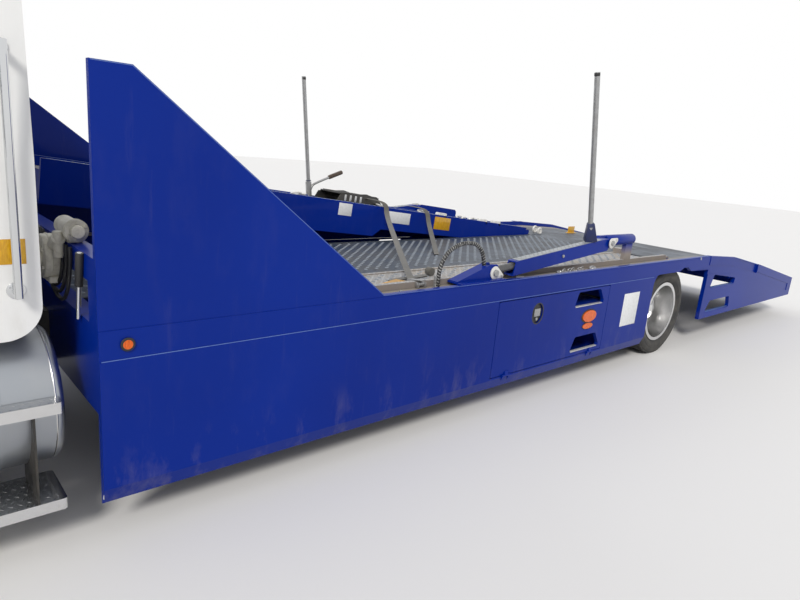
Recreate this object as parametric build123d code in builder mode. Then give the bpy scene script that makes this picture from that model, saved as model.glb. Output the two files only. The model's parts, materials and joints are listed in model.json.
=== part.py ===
from build123d import *
import os
from math import atan2, cos, degrees, hypot, radians, sin, tan

# Car transporter truck: a conventional cab, a low steel body and two lifting runways.
# Millimetres. X points to the front, Y to the left, Z up. The origin is on the ground,
# under the middle of the vehicle's length and width.

# Overall sizes and stations along the length
overall_length = 12550
overall_width = 2590
cab_and_bumper = 3175
cab_gap = 160
front_overhang = 875
rear_overhang = 3855
nose_x = overall_length / 2
tail_x = -overall_length / 2
cab_back_x = nose_x - cab_and_bumper
body_front_x = cab_back_x - cab_gap
front_axle_x = nose_x - front_overhang
rear_axle_x = tail_x + rear_overhang
half_width = overall_width / 2

# Wheels and tyres
tyre_radius = 445
tyre_width = 240
tyre_shoulder = 50
rim_radius = 285
rim_flange = 20
rim_wall = 12
rim_half = 98
flange_width = 12
bead_slope = 18
axle_z = tyre_radius
dual_spacing = 316
rear_wheel_inset = 60
front_wheel_inset = 105
hub_radius = 120
hand_hole_radius = 34
hand_hole_circle = 205
hand_holes = 10
spindle_radius = 40
kingpin_radius = 22
knuckle_half = 100
knuckle_ear = 40

# Frame rails and what hangs on them
rail_outer = 430
rail_flange = 80
rail_web = 10
rail_bottom = 590
rail_top = 860
rail_back_x = rear_axle_x - 1480
horn_length = 315
horn_top = 730
cross_member_length = 90
cross_member_height = 100
spring_width = 76
spring_thickness = 40
spring_length = 1300
axle_tube_radius = 72
diff_radius = 215
shaft_radius = 52

# Body sides: the lower panel stands proud of the beam's strip and of the fairing
skin = 40
skirt_bottom = 180
skirt_fold = 80
skirt_tuck = 34
panel_top = 855
strip_top = 988
strip_recess = 5
fairing_recess = 9
deck_edge = 1000
fairing_top = 2050
fairing_crest = 160
arch_front = 450
arch_top = 872
arch_corner = 100
arch_bump = 34

# Deck: floor, ledges beside the runways, walls and beams
floor_top = 950
floor_thickness = 12
floor_groove = 4
ledge_inner = 1158
ledge_top = 980
ledge_thickness = 10
deck_wall_outer = 575
deck_wall = 30
beam_size = 90
beam_top = 650
cross_frame_depth = 80

# Tool lockers and their doors
locker_to_arch = 810
locker_length = 1500
locker_low = 272
locker_high = 850
locker_top = 700
locker_inner = 700
locker_wall = 15
locker_rim = 30
locker_gap = 6

# Step slots: front low, front high, back high and back low corners. The deck's slots are
# placed from the locker door's rear edge, the tail's from the tail's front edge.
slot_corner = 25
deck_slots = [((520, 694), (480, 826), (150, 826), (55, 694)),
              ((500, 304), (440, 438), (125, 438), (30, 304))]
tail_slots = [((-125, 628), (-195, 778), (-840, 697), (-820, 628)),
              ((-105, 350), (-215, 479), (-765, 479), (-815, 345))]

# Tail: heights of its top edge and their distances behind the rear axle
tail_start = 795
tail_brow = 600
tail_knee = 1530
tail_hip = 2390
tail_brow_top = 1010
tail_knee_top = 945
tail_hip_top = 806
tail_end_top = 530
tail_bottom = 283
tail_floor_drop = 40
tail_band_high = 100
tail_band_low = 200
tail_band_depth = 6
strap_tray_start = 1480
strap_tray_length = 856
strap_tray_height = 115
strap_tray_depth = 26

# Runways: hinged over the rear axle, lifted by a strut outboard of each
runway_inner = 600
runway_outer = 1150
runway_wall = 36
runway_front_gap = 180
runway_lip = 70
runway_rear_depth = 125
runway_front_depth = 210
runway_step = 2340
shallow_length = 560
hinge_setback = 50
hinge_z = 975
hinge_radius = 30
hinge_pin = 15
pin_play = 0.5
hub_play = 0.4
runway_end_gap = 36
knuckle_length = 80
lug_thickness = 14
lug_play = 5
floor_play = 8

# How each runway stands and how its strut's arm is set: side, way, degrees raised, height of
# the arm's pin over the hinge line, height of the inner lip over the floor
runways = (("left", 1, 0, 231, 6), ("right", -1, 6, 75, 75))

# Lift struts
strut_inner = 1160
strut_outer = 1240
strut_pin_ahead = 2840
strut_pin_z = 1050
strut_to_fairing = 1030
arm_pin_ahead = 1343
arm_foot_back = 770
arm_foot_front = 890
arm_bar_half = 45
barrel_radius = 28
barrel_eye = 40
sheath_start = 205
sheath_low = 62
sheath_high = 40
sheath_wall = 9
sheath_mouth = 160
strut_pin = 16
bracket_plate = 6
bracket_base = 10
bracket_length = 460
hose_radius = 14
post_foot = 130

# Cab
cab_half_width = 1120
cab_roof_half = 1020
cab_wall = 60
cab_floor = 940
cab_heel = 140
cab_belt = 1650
cab_roof = 2680
cab_length = 1520
cowl_z = 1770
screen_base_back = 80
screen_top_back = 560
door_front_back = 330
door_length = 950
door_sill = 1040
door_top_drop = 135
door_gap = 8
glass_thickness = 8
glass_inset = 22

# Hood
hood_gap = 20
hood_wall = 35
hood_front_back = 175
fender_outer = 1200
fender_top = 1240
arch_radius = 590
hood_pivot_back = 215
hood_pivot_z = 778
hood_lug = 12
hood_ear = 20
hood_eye = 22
hood_pin = 12
hood_chin = 815
mirror_depth = 70
mirror_width = 200
mirror_height = 420
mirror_reach = 230

# Tanks and steps
tank_radius = 305
tank_centre_y = 895
tank_centre_z = 615
tank_length = 1240
tank_back = 50
tank_strap = 6
strap_width = 60
step_outer = 1265
step_length = 1000
step_offset = 25
step_plate = 8
upper_step_z = 702
lower_step_z = 261
upper_step_depth = 120
lower_step_depth = 270
step_thickness = 50

os.makedirs("parts", exist_ok=True)
sides = (("left", 1), ("right", -1))


def wall_plane(side, inner, outer, x=0, z=0, tilt=0):
    # An upright plane on the left face of a slab that lies between two distances
    # from the centre line. Its sketch runs forward and up; the slab grows to -Y.
    left_face = outer if side > 0 else -inner
    forward = (cos(radians(tilt)), 0, sin(radians(tilt)))
    return Plane(origin=(x, left_face, z), x_dir=forward, z_dir=(0, -1, 0))


def save(piece, name):
    piece.part.label = name
    export_step(piece.part, f"parts/{name}.step")


# The body side's top edge behind the deck bends at a knee and at a hip
tail_front_x = rear_axle_x - tail_start
tail_knee_x = rear_axle_x - tail_knee
tail_hip_x = rear_axle_x - tail_hip


def tail_top(x):
    corners = [(rear_axle_x - tail_brow, tail_brow_top), (tail_knee_x, tail_knee_top),
               (tail_hip_x, tail_hip_top), (tail_x, tail_end_top)]
    for (front, high), (back, low) in zip(corners, corners[1:]):
        if x >= back:
            break
    return low + (high - low) * (x - back) / (front - back)


# Tyres: a revolved section with rounded shoulders, in its own wheel's frame
def tyre_section(centre_y):
    half = tyre_width / 2
    seat = rim_half - flange_width - bead_slope - 2
    corners = [(seat, rim_radius + 0.3), (seat + bead_slope, rim_radius + rim_flange + 3),
               (half - 18, rim_radius + 40), (half, (tyre_radius + rim_radius) / 2 + 12),
               (half - 14, tyre_radius - 26), (half - tyre_shoulder, tyre_radius)]
    return [(centre_y + y, r) for y, r in corners] + [(centre_y - y, r) for y, r in reversed(corners)]


def rim_section(centre_y, disc_y, dish):
    # Half of a drop-centre rim with its disc; dish leans the disc toward the rim's far side
    half = rim_half
    outer = rim_radius
    well = outer - rim_wall
    flange = outer + rim_flange
    seat = half - flange_width
    return [(centre_y - half, flange), (centre_y - half, well), (disc_y - 8, well - 30),
            (disc_y - 8 + dish, hub_radius + 20), (disc_y - 8 + dish, hub_radius - 20),
            (disc_y + 8 + dish, hub_radius - 20), (disc_y + 8 + dish, hub_radius + 20),
            (disc_y + 8, well - 30), (centre_y + half, well), (centre_y + half, flange),
            (centre_y + seat, flange), (centre_y + seat - bead_slope, outer),
            (centre_y - seat + bead_slope, outer), (centre_y - seat, flange)]


rear_outer_y = half_width - rear_wheel_inset - tyre_width / 2
rear_inner_y = rear_outer_y - dual_spacing
front_wheel_y = half_width - front_wheel_inset - tyre_width / 2 - 30
dual_face = (rear_outer_y + rear_inner_y) / 2
kingpin_y = front_wheel_y - 195

for name, side in sides:
    rear_axis = Plane(origin=(rear_axle_x, 0, axle_z), x_dir=(0, side, 0), z_dir=(1, 0, 0))
    front_axis = Plane(origin=(front_axle_x, 0, axle_z), x_dir=(0, side, 0), z_dir=(1, 0, 0))

    with BuildPart() as rear_tyres:
        for centre in (rear_inner_y, rear_outer_y):
            with BuildSketch(rear_axis):
                Polygon(*[(y, r * side) for y, r in tyre_section(centre)], align=None)
            revolve(axis=Axis((rear_axle_x, 0, axle_z), (0, 1, 0)))
    save(rear_tyres, f"rear_tyres_{name}")

    with BuildPart() as front_tyre:
        with BuildSketch(front_axis):
            Polygon(*[(y, r * side) for y, r in tyre_section(front_wheel_y)], align=None)
        revolve(axis=Axis((front_axle_x, 0, axle_z), (0, 1, 0)))
    save(front_tyre, f"front_tyre_{name}")

    with BuildPart() as rear_rims:
        for centre, disc, lean in ((rear_inner_y, dual_face - 8, 0), (rear_outer_y, dual_face + 8, 0)):
            with BuildSketch(rear_axis):
                Polygon(*[(y, r * side) for y, r in rim_section(centre, disc, lean)], align=None)
            revolve(axis=Axis((rear_axle_x, 0, axle_z), (0, 1, 0)))
        with BuildSketch(wall_plane(side, rear_inner_y - 60, dual_face + 120, rear_axle_x, axle_z)):
            Circle(hub_radius)
        extrude(amount=dual_face + 120 - rear_inner_y + 60)
        with BuildSketch(wall_plane(side, rear_inner_y - 70, dual_face + 60, rear_axle_x, axle_z)):
            Circle(axle_tube_radius + hub_play)
        extrude(amount=dual_face + 60 - rear_inner_y + 70, mode=Mode.SUBTRACT)
        with BuildSketch(wall_plane(side, dual_face - 60, dual_face + 60, rear_axle_x, axle_z)):
            with PolarLocations(hand_hole_circle, hand_holes):
                Circle(hand_hole_radius)
        extrude(amount=120, mode=Mode.SUBTRACT)
    save(rear_rims, f"rear_rims_{name}")

    face_y = front_wheel_y + 55
    with BuildPart() as front_rim:
        with BuildSketch(front_axis):
            Polygon(*[(y, r * side) for y, r in rim_section(front_wheel_y, face_y, 25)], align=None)
        revolve(axis=Axis((front_axle_x, 0, axle_z), (0, 1, 0)))
        with BuildSketch(wall_plane(side, front_wheel_y - 40, face_y + 75, front_axle_x, axle_z)):
            Circle(hub_radius - 10)
        extrude(amount=face_y + 115 - front_wheel_y)
        with BuildSketch(wall_plane(side, front_wheel_y - 50, face_y + 20, front_axle_x, axle_z)):
            Circle(spindle_radius + hub_play)
        extrude(amount=face_y + 70 - front_wheel_y, mode=Mode.SUBTRACT)
        with BuildSketch(wall_plane(side, face_y - 20, face_y + 60, front_axle_x, axle_z)):
            with PolarLocations(hand_hole_circle, hand_holes):
                Circle(hand_hole_radius)
        extrude(amount=80, mode=Mode.SUBTRACT)
    save(front_rim, f"front_rim_{name}")

    # Steering knuckle: two ears on a kingpin, a web outboard of them and the wheel's spindle
    with BuildPart() as knuckle:
        for low in (axle_z - knuckle_half, axle_z + knuckle_half - knuckle_ear):
            with BuildSketch(Plane.XY.offset(low)):
                with Locations((front_axle_x, side * kingpin_y)):
                    Circle(kingpin_radius + 20)
                with Locations((front_axle_x, side * (kingpin_y + 45))):
                    Rectangle(84, 90)
            extrude(amount=knuckle_ear)
        with BuildSketch(Plane.XY.offset(axle_z - knuckle_half)):
            with Locations((front_axle_x, side * (kingpin_y + 75))):
                Rectangle(84, 40)
            with Locations((front_axle_x, side * kingpin_y)):
                Circle(kingpin_radius)
        extrude(amount=2 * knuckle_half)
        with BuildSketch(wall_plane(side, kingpin_y + 90, face_y + 10, front_axle_x, axle_z)):
            Circle(spindle_radius)
        extrude(amount=face_y - 80 - kingpin_y)
        with BuildSketch(wall_plane(side, kingpin_y + 93, kingpin_y + 101, front_axle_x, axle_z)):
            Circle(190)
        extrude(amount=8)
    save(knuckle, f"steering_knuckle_{name}")

# Front axle: a beam with an eye round each kingpin
with BuildPart() as front_axle:
    with BuildSketch(Plane.XY.offset(axle_z - 40)):
        with Locations((front_axle_x, 0)):
            Rectangle(90, 2 * kingpin_y)
        with Locations((front_axle_x, kingpin_y), (front_axle_x, -kingpin_y)):
            Circle(45)
    extrude(amount=80)
    with BuildSketch(Plane.XY.offset(axle_z - 60)):
        with Locations((front_axle_x, kingpin_y), (front_axle_x, -kingpin_y)):
            Circle(kingpin_radius + pin_play)
    extrude(amount=120, mode=Mode.SUBTRACT)
save(front_axle, "front_axle")

# Rear axle: tube, differential housing and the drive shaft from the gearbox
gearbox_x = cab_back_x + 500
gearbox_z = 700
with BuildPart() as rear_axle:
    with BuildSketch(Plane.XZ):
        with Locations((rear_axle_x, axle_z)):
            Circle(axle_tube_radius)
    extrude(amount=dual_face + 50, both=True)
    with BuildSketch(Plane.YZ.offset(rear_axle_x - 150)):
        with Locations((0, axle_z)):
            Circle(diff_radius - 60)
    extrude(amount=300)
    with BuildSketch(Plane.XZ):
        with Locations((rear_axle_x, axle_z)):
            Circle(diff_radius)
    extrude(amount=110, both=True)
    shaft_start = Vector(gearbox_x - 3.6, 0, gearbox_z)
    shaft_run = Vector(rear_axle_x + diff_radius / 2, 0, axle_z + 30) - shaft_start
    with BuildSketch(Plane(origin=shaft_start, z_dir=shaft_run)):
        Circle(shaft_radius)
    extrude(amount=shaft_run.length)
    with BuildSketch(Plane(origin=shaft_start, z_dir=shaft_run)):
        Circle(shaft_radius + 35)
    extrude(amount=40)
save(rear_axle, "rear_axle")

# Frame: two channels with their flanges inboard, cross members above the drive shaft,
# cab mounts on the rails and the hood's lugs and pins on the horns
cab_front_x = cab_back_x + cab_length
hood_pivot_x = nose_x - hood_pivot_back
hood_ear_inner = rail_outer + hood_lug + 6
horn_x = nose_x - 60
rail_front_x = horn_x - horn_length
cross_members = (rail_back_x + 60, rear_axle_x - 700, rear_axle_x + 700, rear_axle_x + 1820,
                 body_front_x - 2040, body_front_x - 740, cab_back_x + 300, rail_front_x - 50)
with BuildPart() as frame:
    for name, side in sides:
        with BuildSketch(wall_plane(side, rail_outer - rail_web, rail_outer)):
            Polygon((rail_back_x, rail_bottom), (rail_back_x, rail_top), (rail_front_x, rail_top),
                    (rail_front_x + 100, horn_top), (horn_x, horn_top), (horn_x, rail_bottom), align=None)
        extrude(amount=rail_web)
        for low in (rail_bottom, rail_top - rail_web):
            with BuildSketch(wall_plane(side, rail_outer - rail_flange, rail_outer)):
                Polygon((rail_back_x, low), (rail_back_x, low + rail_web), (rail_front_x, low + rail_web),
                        (rail_front_x, low), align=None)
            extrude(amount=rail_flange)
    for station in cross_members:
        with BuildSketch(Plane.XY.offset(rail_top - rail_web - cross_member_height)):
            with Locations((station, 0)):
                Rectangle(cross_member_length, 2 * (rail_outer - rail_web))
        extrude(amount=cross_member_height)
    for name, side in sides:
        mount_y = side * (rail_outer - 40)
        with BuildSketch(Plane.XY.offset(rail_top)):
            with Locations((cab_back_x + 220, mount_y), (cab_front_x - 150, mount_y)):
                Rectangle(120, 80)
        extrude(amount=cab_floor - rail_top)
        with BuildSketch(wall_plane(side, rail_outer, rail_outer + hood_lug, hood_pivot_x, hood_pivot_z)):
            Circle(hood_eye)
            Polygon((-hood_eye, 0), (-60, horn_top - 100 - hood_pivot_z), (60, horn_top - 100 - hood_pivot_z),
                    (hood_eye, 0), align=None)
        extrude(amount=hood_lug)
        with BuildSketch(wall_plane(side, rail_outer, hood_ear_inner + hood_ear, hood_pivot_x, hood_pivot_z)):
            Circle(hood_pin)
        extrude(amount=hood_ear_inner + hood_ear - rail_outer)
save(frame, "chassis_frame")

# Tow eyes: a plate under each horn, with its hole below the bumper
tow_eye_x = nose_x - 112
tow_eye_z = 352
tow_eye_radius = 20
tow_plate = 25
with BuildPart() as tow_eyes:
    for name, side in sides:
        plate_outer = rail_outer - rail_web
        with BuildSketch(wall_plane(side, plate_outer - tow_plate, plate_outer, tow_eye_x, tow_eye_z)):
            Circle(48)
            Polygon((-48, 0), (-90, 360), (10, 360), (48, 0), align=None)
            Circle(tow_eye_radius, mode=Mode.SUBTRACT)
        extrude(amount=tow_plate)
save(tow_eyes, "tow_eyes")

# Leaf springs: an arched pack under each rail, clamped to its axle
with BuildPart() as springs:
    for axle_x, seat in ((front_axle_x, axle_z + 40), (rear_axle_x, axle_z + axle_tube_radius)):
        for name, side in sides:
            half = spring_length / 2
            with BuildSketch(wall_plane(side, rail_outer - spring_width, rail_outer, axle_x, 0)):
                Polygon((-half, rail_bottom), (-half, rail_bottom - 25), (-90, seat), (90, seat),
                        (half, rail_bottom - 25), (half, rail_bottom), (110, seat + spring_thickness),
                        (-110, seat + spring_thickness), align=None)
            extrude(amount=spring_width)
save(springs, "leaf_springs")

# Engine: one plain block between the rails, with the gearbox behind it
engine_length = 1040
engine_width = 600
engine_height = 700
engine_low = 690
engine_setback = 120
gearbox_radius = 150
engine_x = front_axle_x - engine_setback
with BuildPart() as engine:
    with BuildSketch(Plane.XY.offset(engine_low)):
        with Locations((engine_x, 0)):
            Rectangle(engine_length, engine_width)
    extrude(amount=engine_height)
    fillet(engine.edges().filter_by(Axis.Z), 60)
    with BuildSketch(Plane.YZ.offset(gearbox_x)):
        with Locations((0, gearbox_z)):
            Circle(gearbox_radius)
    extrude(amount=engine_x - engine_length / 2 - gearbox_x)
save(engine, "engine_block")

# Fuel tanks, each in two straps that hang on a bracket from the rail
tank_x = cab_back_x - tank_back
tank_places = [(side * tank_centre_y, tank_centre_z) for name, side in sides]
tank_bracket = tank_centre_y - rail_outer - tank_radius + 70
with BuildPart() as tanks:
    with BuildSketch(Plane.YZ.offset(tank_x)):
        with Locations(*tank_places):
            Circle(tank_radius)
    extrude(amount=tank_length)
    fillet(tanks.edges().filter_by(GeomType.CIRCLE), 30)
    for station in (tank_x + 230, tank_x + tank_length - 290):
        with BuildSketch(Plane.YZ.offset(station)):
            with Locations(*tank_places):
                Circle(tank_radius + tank_strap)
            for name, side in sides:
                with Locations((side * (rail_outer + tank_bracket / 2), rail_bottom + 90)):
                    Rectangle(tank_bracket, 150)
        extrude(amount=strap_width)
save(tanks, "fuel_tanks")

# Steps: an upper tread beside the tank and a lower one under it, hung on plates
step_x = tank_x + step_offset
step_low = lower_step_z - step_thickness
with BuildPart() as steps:
    for name, side in sides:
        for top, depth in ((upper_step_z, upper_step_depth), (lower_step_z, lower_step_depth)):
            with BuildSketch(Plane.XY.offset(top - step_thickness)) as tread:
                with Locations((step_x + step_length / 2, side * (step_outer - depth / 2))):
                    Rectangle(step_length, depth)
                fillet(tread.vertices(), 15)
            extrude(amount=step_thickness)
    with BuildSketch(Plane.YZ.offset(tank_x)):
        with Locations(*tank_places):
            Circle(tank_radius + tank_strap + 1)
    extrude(amount=tank_length, mode=Mode.SUBTRACT)
save(steps, "cab_steps")

step_stations = (step_x + 100, step_x + step_length / 2, step_x + step_length - 100 - step_plate)
with BuildPart() as step_brackets:
    for name, side in sides:
        for station in step_stations:
            with BuildSketch(Plane.YZ.offset(station)):
                Polygon((side * (step_outer - 60), upper_step_z - step_thickness),
                        (side * (step_outer - 20), upper_step_z - step_thickness),
                        (side * (step_outer - 20), lower_step_z),
                        (side * (step_outer - lower_step_depth), lower_step_z),
                        (side * (step_outer - lower_step_depth), lower_step_z + 60),
                        (side * (step_outer - 100), 480), align=None)
                with Locations((side * tank_centre_y, tank_centre_z)):
                    Circle(tank_radius, mode=Mode.SUBTRACT)
            extrude(amount=step_plate)
save(step_brackets, "step_brackets")


# Cab: one hollow block seen from the side, narrowed to the roof as seen from the front


def cab_block(inset):
    with BuildPart() as block:
        with BuildSketch(Plane.XZ) as side_view:
            Polygon((cab_back_x, cab_floor), (cab_back_x, cab_roof - 20),
                    (cab_front_x - screen_top_back, cab_roof + 10),
                    (cab_front_x - screen_base_back, cowl_z + 20), (cab_front_x, cowl_z - 10),
                    (cab_front_x, cab_floor), align=None)
            fillet(side_view.vertices().group_by(Axis.Y)[-1], 150)
            fillet(side_view.vertices().group_by(Axis.Y)[-2].sort_by(Axis.X)[:1], 90)
            fillet(side_view.vertices().group_by(Axis.Y)[0].sort_by(Axis.X)[:1], cab_heel)
            if inset:
                offset(amount=-inset, kind=Kind.INTERSECTION)
        extrude(amount=cab_half_width + 20, both=True)
        with BuildSketch(Plane.YZ) as front_view:
            Polygon((-cab_half_width, cab_floor), (-cab_half_width, cab_belt), (-cab_roof_half, cab_roof),
                    (cab_roof_half, cab_roof), (cab_half_width, cab_belt), (cab_half_width, cab_floor),
                    align=None)
            fillet(front_view.vertices().group_by(Axis.Y)[-1], 110)
            if inset:
                offset(amount=-inset, kind=Kind.INTERSECTION)
        extrude(amount=nose_x, mode=Mode.INTERSECT)
    return block.part


cab_outside = cab_block(0)
cab_inside = cab_block(cab_wall)
glass_outside = cab_block(glass_inset)
glass_inside = cab_block(glass_inset + glass_thickness)
door_front_x = cab_front_x - door_front_back
door_back_x = door_front_x - door_length
door_top = cab_roof - door_top_drop
window_low = cab_belt + 70
shoulder_share = 0.33
window_shoulder = window_low + shoulder_share * (door_top - window_low)
door_outline = [(door_back_x, door_sill), (door_back_x, door_top), (door_front_x - 290, door_top),
                (door_front_x, window_shoulder + 25), (door_front_x, door_sill)]
window_outline = [(door_back_x + 90, window_low), (door_back_x + 90, door_top - 110),
                  (door_front_x - 350, door_top - 110), (door_front_x - 90, window_shoulder),
                  (door_front_x - 90, window_low)]
screen_half = cab_roof_half - 90
screen_low = cowl_z + 80
screen_high = cab_roof - 170
rear_window_half = 720
back_panel_flange = 10
roof_depth = 150
rear_window_low = cab_belt + 110
rear_window_high = cab_roof - 320
# Outside hinges: knuckles on a vertical pin, one between two, each with a short leaf
door_hinge_x = door_front_x - door_gap / 2
door_hinge_y = cab_half_width + 14
door_hinge_heights = (door_sill + 160, cab_belt - 90)
door_knuckle = 12
door_pin = 6


def hinge_leaf(side, low, height, way):
    with BuildSketch(Plane.XY.offset(low)) as leaf:
        with Locations((door_hinge_x, side * door_hinge_y)):
            Circle(door_knuckle)
        Polygon((door_hinge_x + way * 7, side * cab_half_width),
                (door_hinge_x + way * 55, side * cab_half_width),
                (door_hinge_x + way * 55, side * (cab_half_width + 6)),
                (door_hinge_x + way * 8, side * (door_hinge_y + 5)),
                (door_hinge_x, side * (door_hinge_y - 10)), align=None)
    extrude(leaf.sketch, amount=height)


# The floor pan is the shell's lowest layer, a panel of its own under the walls
floor_face = cab_floor + cab_wall
with BuildPart() as floor_pan:
    add(cab_outside)
    with BuildSketch(Plane.XY.offset(floor_face)):
        with Locations((cab_front_x, 0)):
            Rectangle(3 * cab_length, 3 * cab_half_width)
    extrude(amount=cab_roof, mode=Mode.SUBTRACT)
save(floor_pan, "cab_floor_pan")

with BuildPart() as cab:
    add(cab_outside)
    add(cab_inside, mode=Mode.SUBTRACT)
    with BuildSketch(Plane.XY.offset(floor_face)):
        with Locations((cab_front_x, 0)):
            Rectangle(3 * cab_length, 3 * cab_half_width)
    extrude(amount=-cab_floor, mode=Mode.SUBTRACT)
    for name, side in sides:
        with BuildSketch(wall_plane(side, cab_roof_half - 100, cab_half_width + 50)) as opening:
            Polygon(*door_outline, align=None)
            fillet(opening.vertices(), 40)
        extrude(amount=cab_half_width + 150 - cab_roof_half, mode=Mode.SUBTRACT)
    with BuildSketch(Plane.YZ.offset(cab_front_x - 700)) as opening:
        Polygon((-screen_half, screen_low), (-screen_half + 90, screen_high), (screen_half - 90, screen_high),
                (screen_half, screen_low), align=None)
        fillet(opening.vertices(), 60)
    extrude(amount=800, mode=Mode.SUBTRACT)
    with BuildSketch(Plane.YZ.offset(cab_back_x - 50)) as opening:
        with Locations((0, (rear_window_low + rear_window_high) / 2)):
            Rectangle(2 * rear_window_half, rear_window_high - rear_window_low)
        fillet(opening.vertices(), 60)
    extrude(amount=200, mode=Mode.SUBTRACT)
    for name, side in sides:
        for height in door_hinge_heights:
            for low in (height - 45, height + 15.5):
                hinge_leaf(side, low, 29.5, 1)
            with BuildSketch(Plane.XY.offset(height - 45)):
                with Locations((door_hinge_x, side * door_hinge_y)):
                    Circle(door_pin)
            extrude(amount=90)
    # The roof above its gutter and the back panel, with a short flange forward, are pressings
    # of their own
    split(bisect_by=Plane.XY.offset(cab_roof - roof_depth), keep=Keep.BOTH)
    split(bisect_by=Plane.YZ.offset(cab_back_x + cab_wall + back_panel_flange), keep=Keep.BOTH)
save(cab, "cab_shell")

with BuildPart() as cab_glass:
    with BuildSketch(Plane.YZ.offset(cab_front_x - 700)) as pane:
        Polygon((-screen_half, screen_low), (-screen_half + 90, screen_high), (screen_half - 90, screen_high),
                (screen_half, screen_low), align=None)
        fillet(pane.vertices(), 60)
    extrude(amount=800)
    with BuildSketch(Plane.YZ.offset(cab_back_x - 50)) as pane:
        with Locations((0, (rear_window_low + rear_window_high) / 2)):
            Rectangle(2 * rear_window_half, rear_window_high - rear_window_low)
        fillet(pane.vertices(), 60)
    extrude(amount=200)
    add(glass_outside, mode=Mode.INTERSECT)
    add(glass_inside, mode=Mode.SUBTRACT)
save(cab_glass, "cab_glass")

for name, side in sides:
    with BuildPart() as door:
        with BuildSketch(wall_plane(side, cab_roof_half - 100, cab_half_width + 50)) as panel:
            Polygon(*door_outline, align=None)
            fillet(panel.vertices(), 40)
            offset(amount=-door_gap)
        extrude(amount=cab_half_width + 150 - cab_roof_half)
        add(cab_outside, mode=Mode.INTERSECT)
        add(cab_inside, mode=Mode.SUBTRACT)
        with BuildSketch(wall_plane(side, cab_roof_half - 100, cab_half_width + 50)) as window:
            Polygon(*window_outline, align=None)
            fillet(window.vertices(), 35)
        extrude(amount=cab_half_width + 150 - cab_roof_half, mode=Mode.SUBTRACT)
        for height in door_hinge_heights:
            hinge_leaf(side, height - 15, 30, -1)
            with BuildSketch(Plane.XY.offset(height - 15)):
                with Locations((door_hinge_x, side * door_hinge_y)):
                    Circle(door_pin + pin_play)
            extrude(amount=30, mode=Mode.SUBTRACT)
    save(door, f"door_{name}")

    with BuildPart() as door_glass:
        with BuildSketch(wall_plane(side, cab_roof_half - 100, cab_half_width + 50)) as window:
            Polygon(*window_outline, align=None)
            fillet(window.vertices(), 35)
        extrude(amount=cab_half_width + 150 - cab_roof_half)
        add(glass_outside, mode=Mode.INTERSECT)
        add(glass_inside, mode=Mode.SUBTRACT)
    save(door_glass, f"door_glass_{name}")

    # Mirror: a tall head on two arms from the door's front edge
    mirror_x = door_front_x - 70
    with BuildPart() as mirror:
        with BuildSketch(Plane.YZ.offset(mirror_x - mirror_depth / 2)) as head:
            with Locations((side * (cab_half_width + mirror_reach), cab_belt + 180)):
                Rectangle(mirror_width, mirror_height)
            fillet(head.vertices(), 40)
        extrude(amount=mirror_depth)
        front_rim = mirror.faces().sort_by(Axis.X)[-1].edges()
        fillet(front_rim, 25)
        arm_end = cab_half_width + mirror_reach - mirror_width / 2 + 10
        for height in (cab_belt + 50, cab_belt + 310):
            with BuildSketch(wall_plane(side, cab_half_width - 18, arm_end, mirror_x, height)):
                Circle(11)
            extrude(amount=arm_end - cab_half_width + 18)
        add(cab_outside, mode=Mode.SUBTRACT)
    save(mirror, f"mirror_{name}")

# Inside the cab: seats, dashboard and steering wheel
seat_y = 520
seat_half = 260
seat_length = 630
seat_pad = 175
seat_rest = 790
rest_thick = 110
plinth = 210
plinth_length = 260
plinth_width = 300
plinth_ahead = 350
seat_low = floor_face + plinth - 10
seat_top = seat_low + seat_pad
seat_back = cab_back_x + 130
with BuildPart() as seats:
    for name, side in sides:
        with BuildSketch(Plane.XY.offset(floor_face)):
            with Locations((seat_back + plinth_ahead, side * seat_y)):
                Rectangle(plinth_length, plinth_width)
        extrude(amount=plinth)
        with BuildSketch(Plane.XZ.offset(-side * seat_y)) as seat:
            Polygon((seat_back + rest_thick - 10, seat_low), (seat_back, seat_low + seat_rest - 30),
                    (seat_back + rest_thick, seat_low + seat_rest),
                    (seat_back + 2 * rest_thick, seat_top - 15), (seat_back + seat_length, seat_top),
                    (seat_back + seat_length, seat_low), align=None)
            fillet(seat.vertices(), 40)
        extrude(amount=seat_half, both=True)
save(seats, "seats")

dash_front_x = cab_front_x - cab_wall
dash_low = cab_floor + 360
wheel_radius = 235
wheel_rim = 30
dash_depth = 360
column_ahead = 395
column_rise = 560
column_start = (cab_front_x - column_ahead, seat_y, cab_floor + column_rise)
with BuildPart() as dashboard:
    with BuildSketch(Plane.XZ) as dash:
        Polygon((dash_front_x, dash_low), (dash_front_x, cowl_z - 130), (dash_front_x - 120, cowl_z - 90),
                (dash_front_x - dash_depth, cowl_z - 150), (dash_front_x - dash_depth + 40, dash_low + 90),
                align=None)
        fillet(dash.vertices().group_by(Axis.X)[0], 40)
    extrude(amount=cab_half_width - cab_wall - 8, both=True)
    column = Plane(origin=column_start, z_dir=(-0.75, 0, 0.66))
    with BuildSketch(column):
        Circle(35)
    extrude(amount=190)
    with BuildSketch(column.offset(180)):
        Circle(wheel_radius)
        Circle(wheel_radius - wheel_rim, mode=Mode.SUBTRACT)
        Rectangle(2 * wheel_radius - wheel_rim, 40)
        Circle(60)
    extrude(amount=28)
save(dashboard, "dashboard")

# Hood: engine cover and both fenders in one tilting shell, open below and behind
hood_back_x = cab_front_x + hood_gap
hood_front_x = nose_x - hood_front_back
cover_back_half = 780
cover_front_half = 590
cover_back_top = cowl_z - 20
cover_brow = 1560
cover_nose = 1440
cover_lip = 1250
fender_nose = 1130
fender_low = 640
crown_proud = 1


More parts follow.
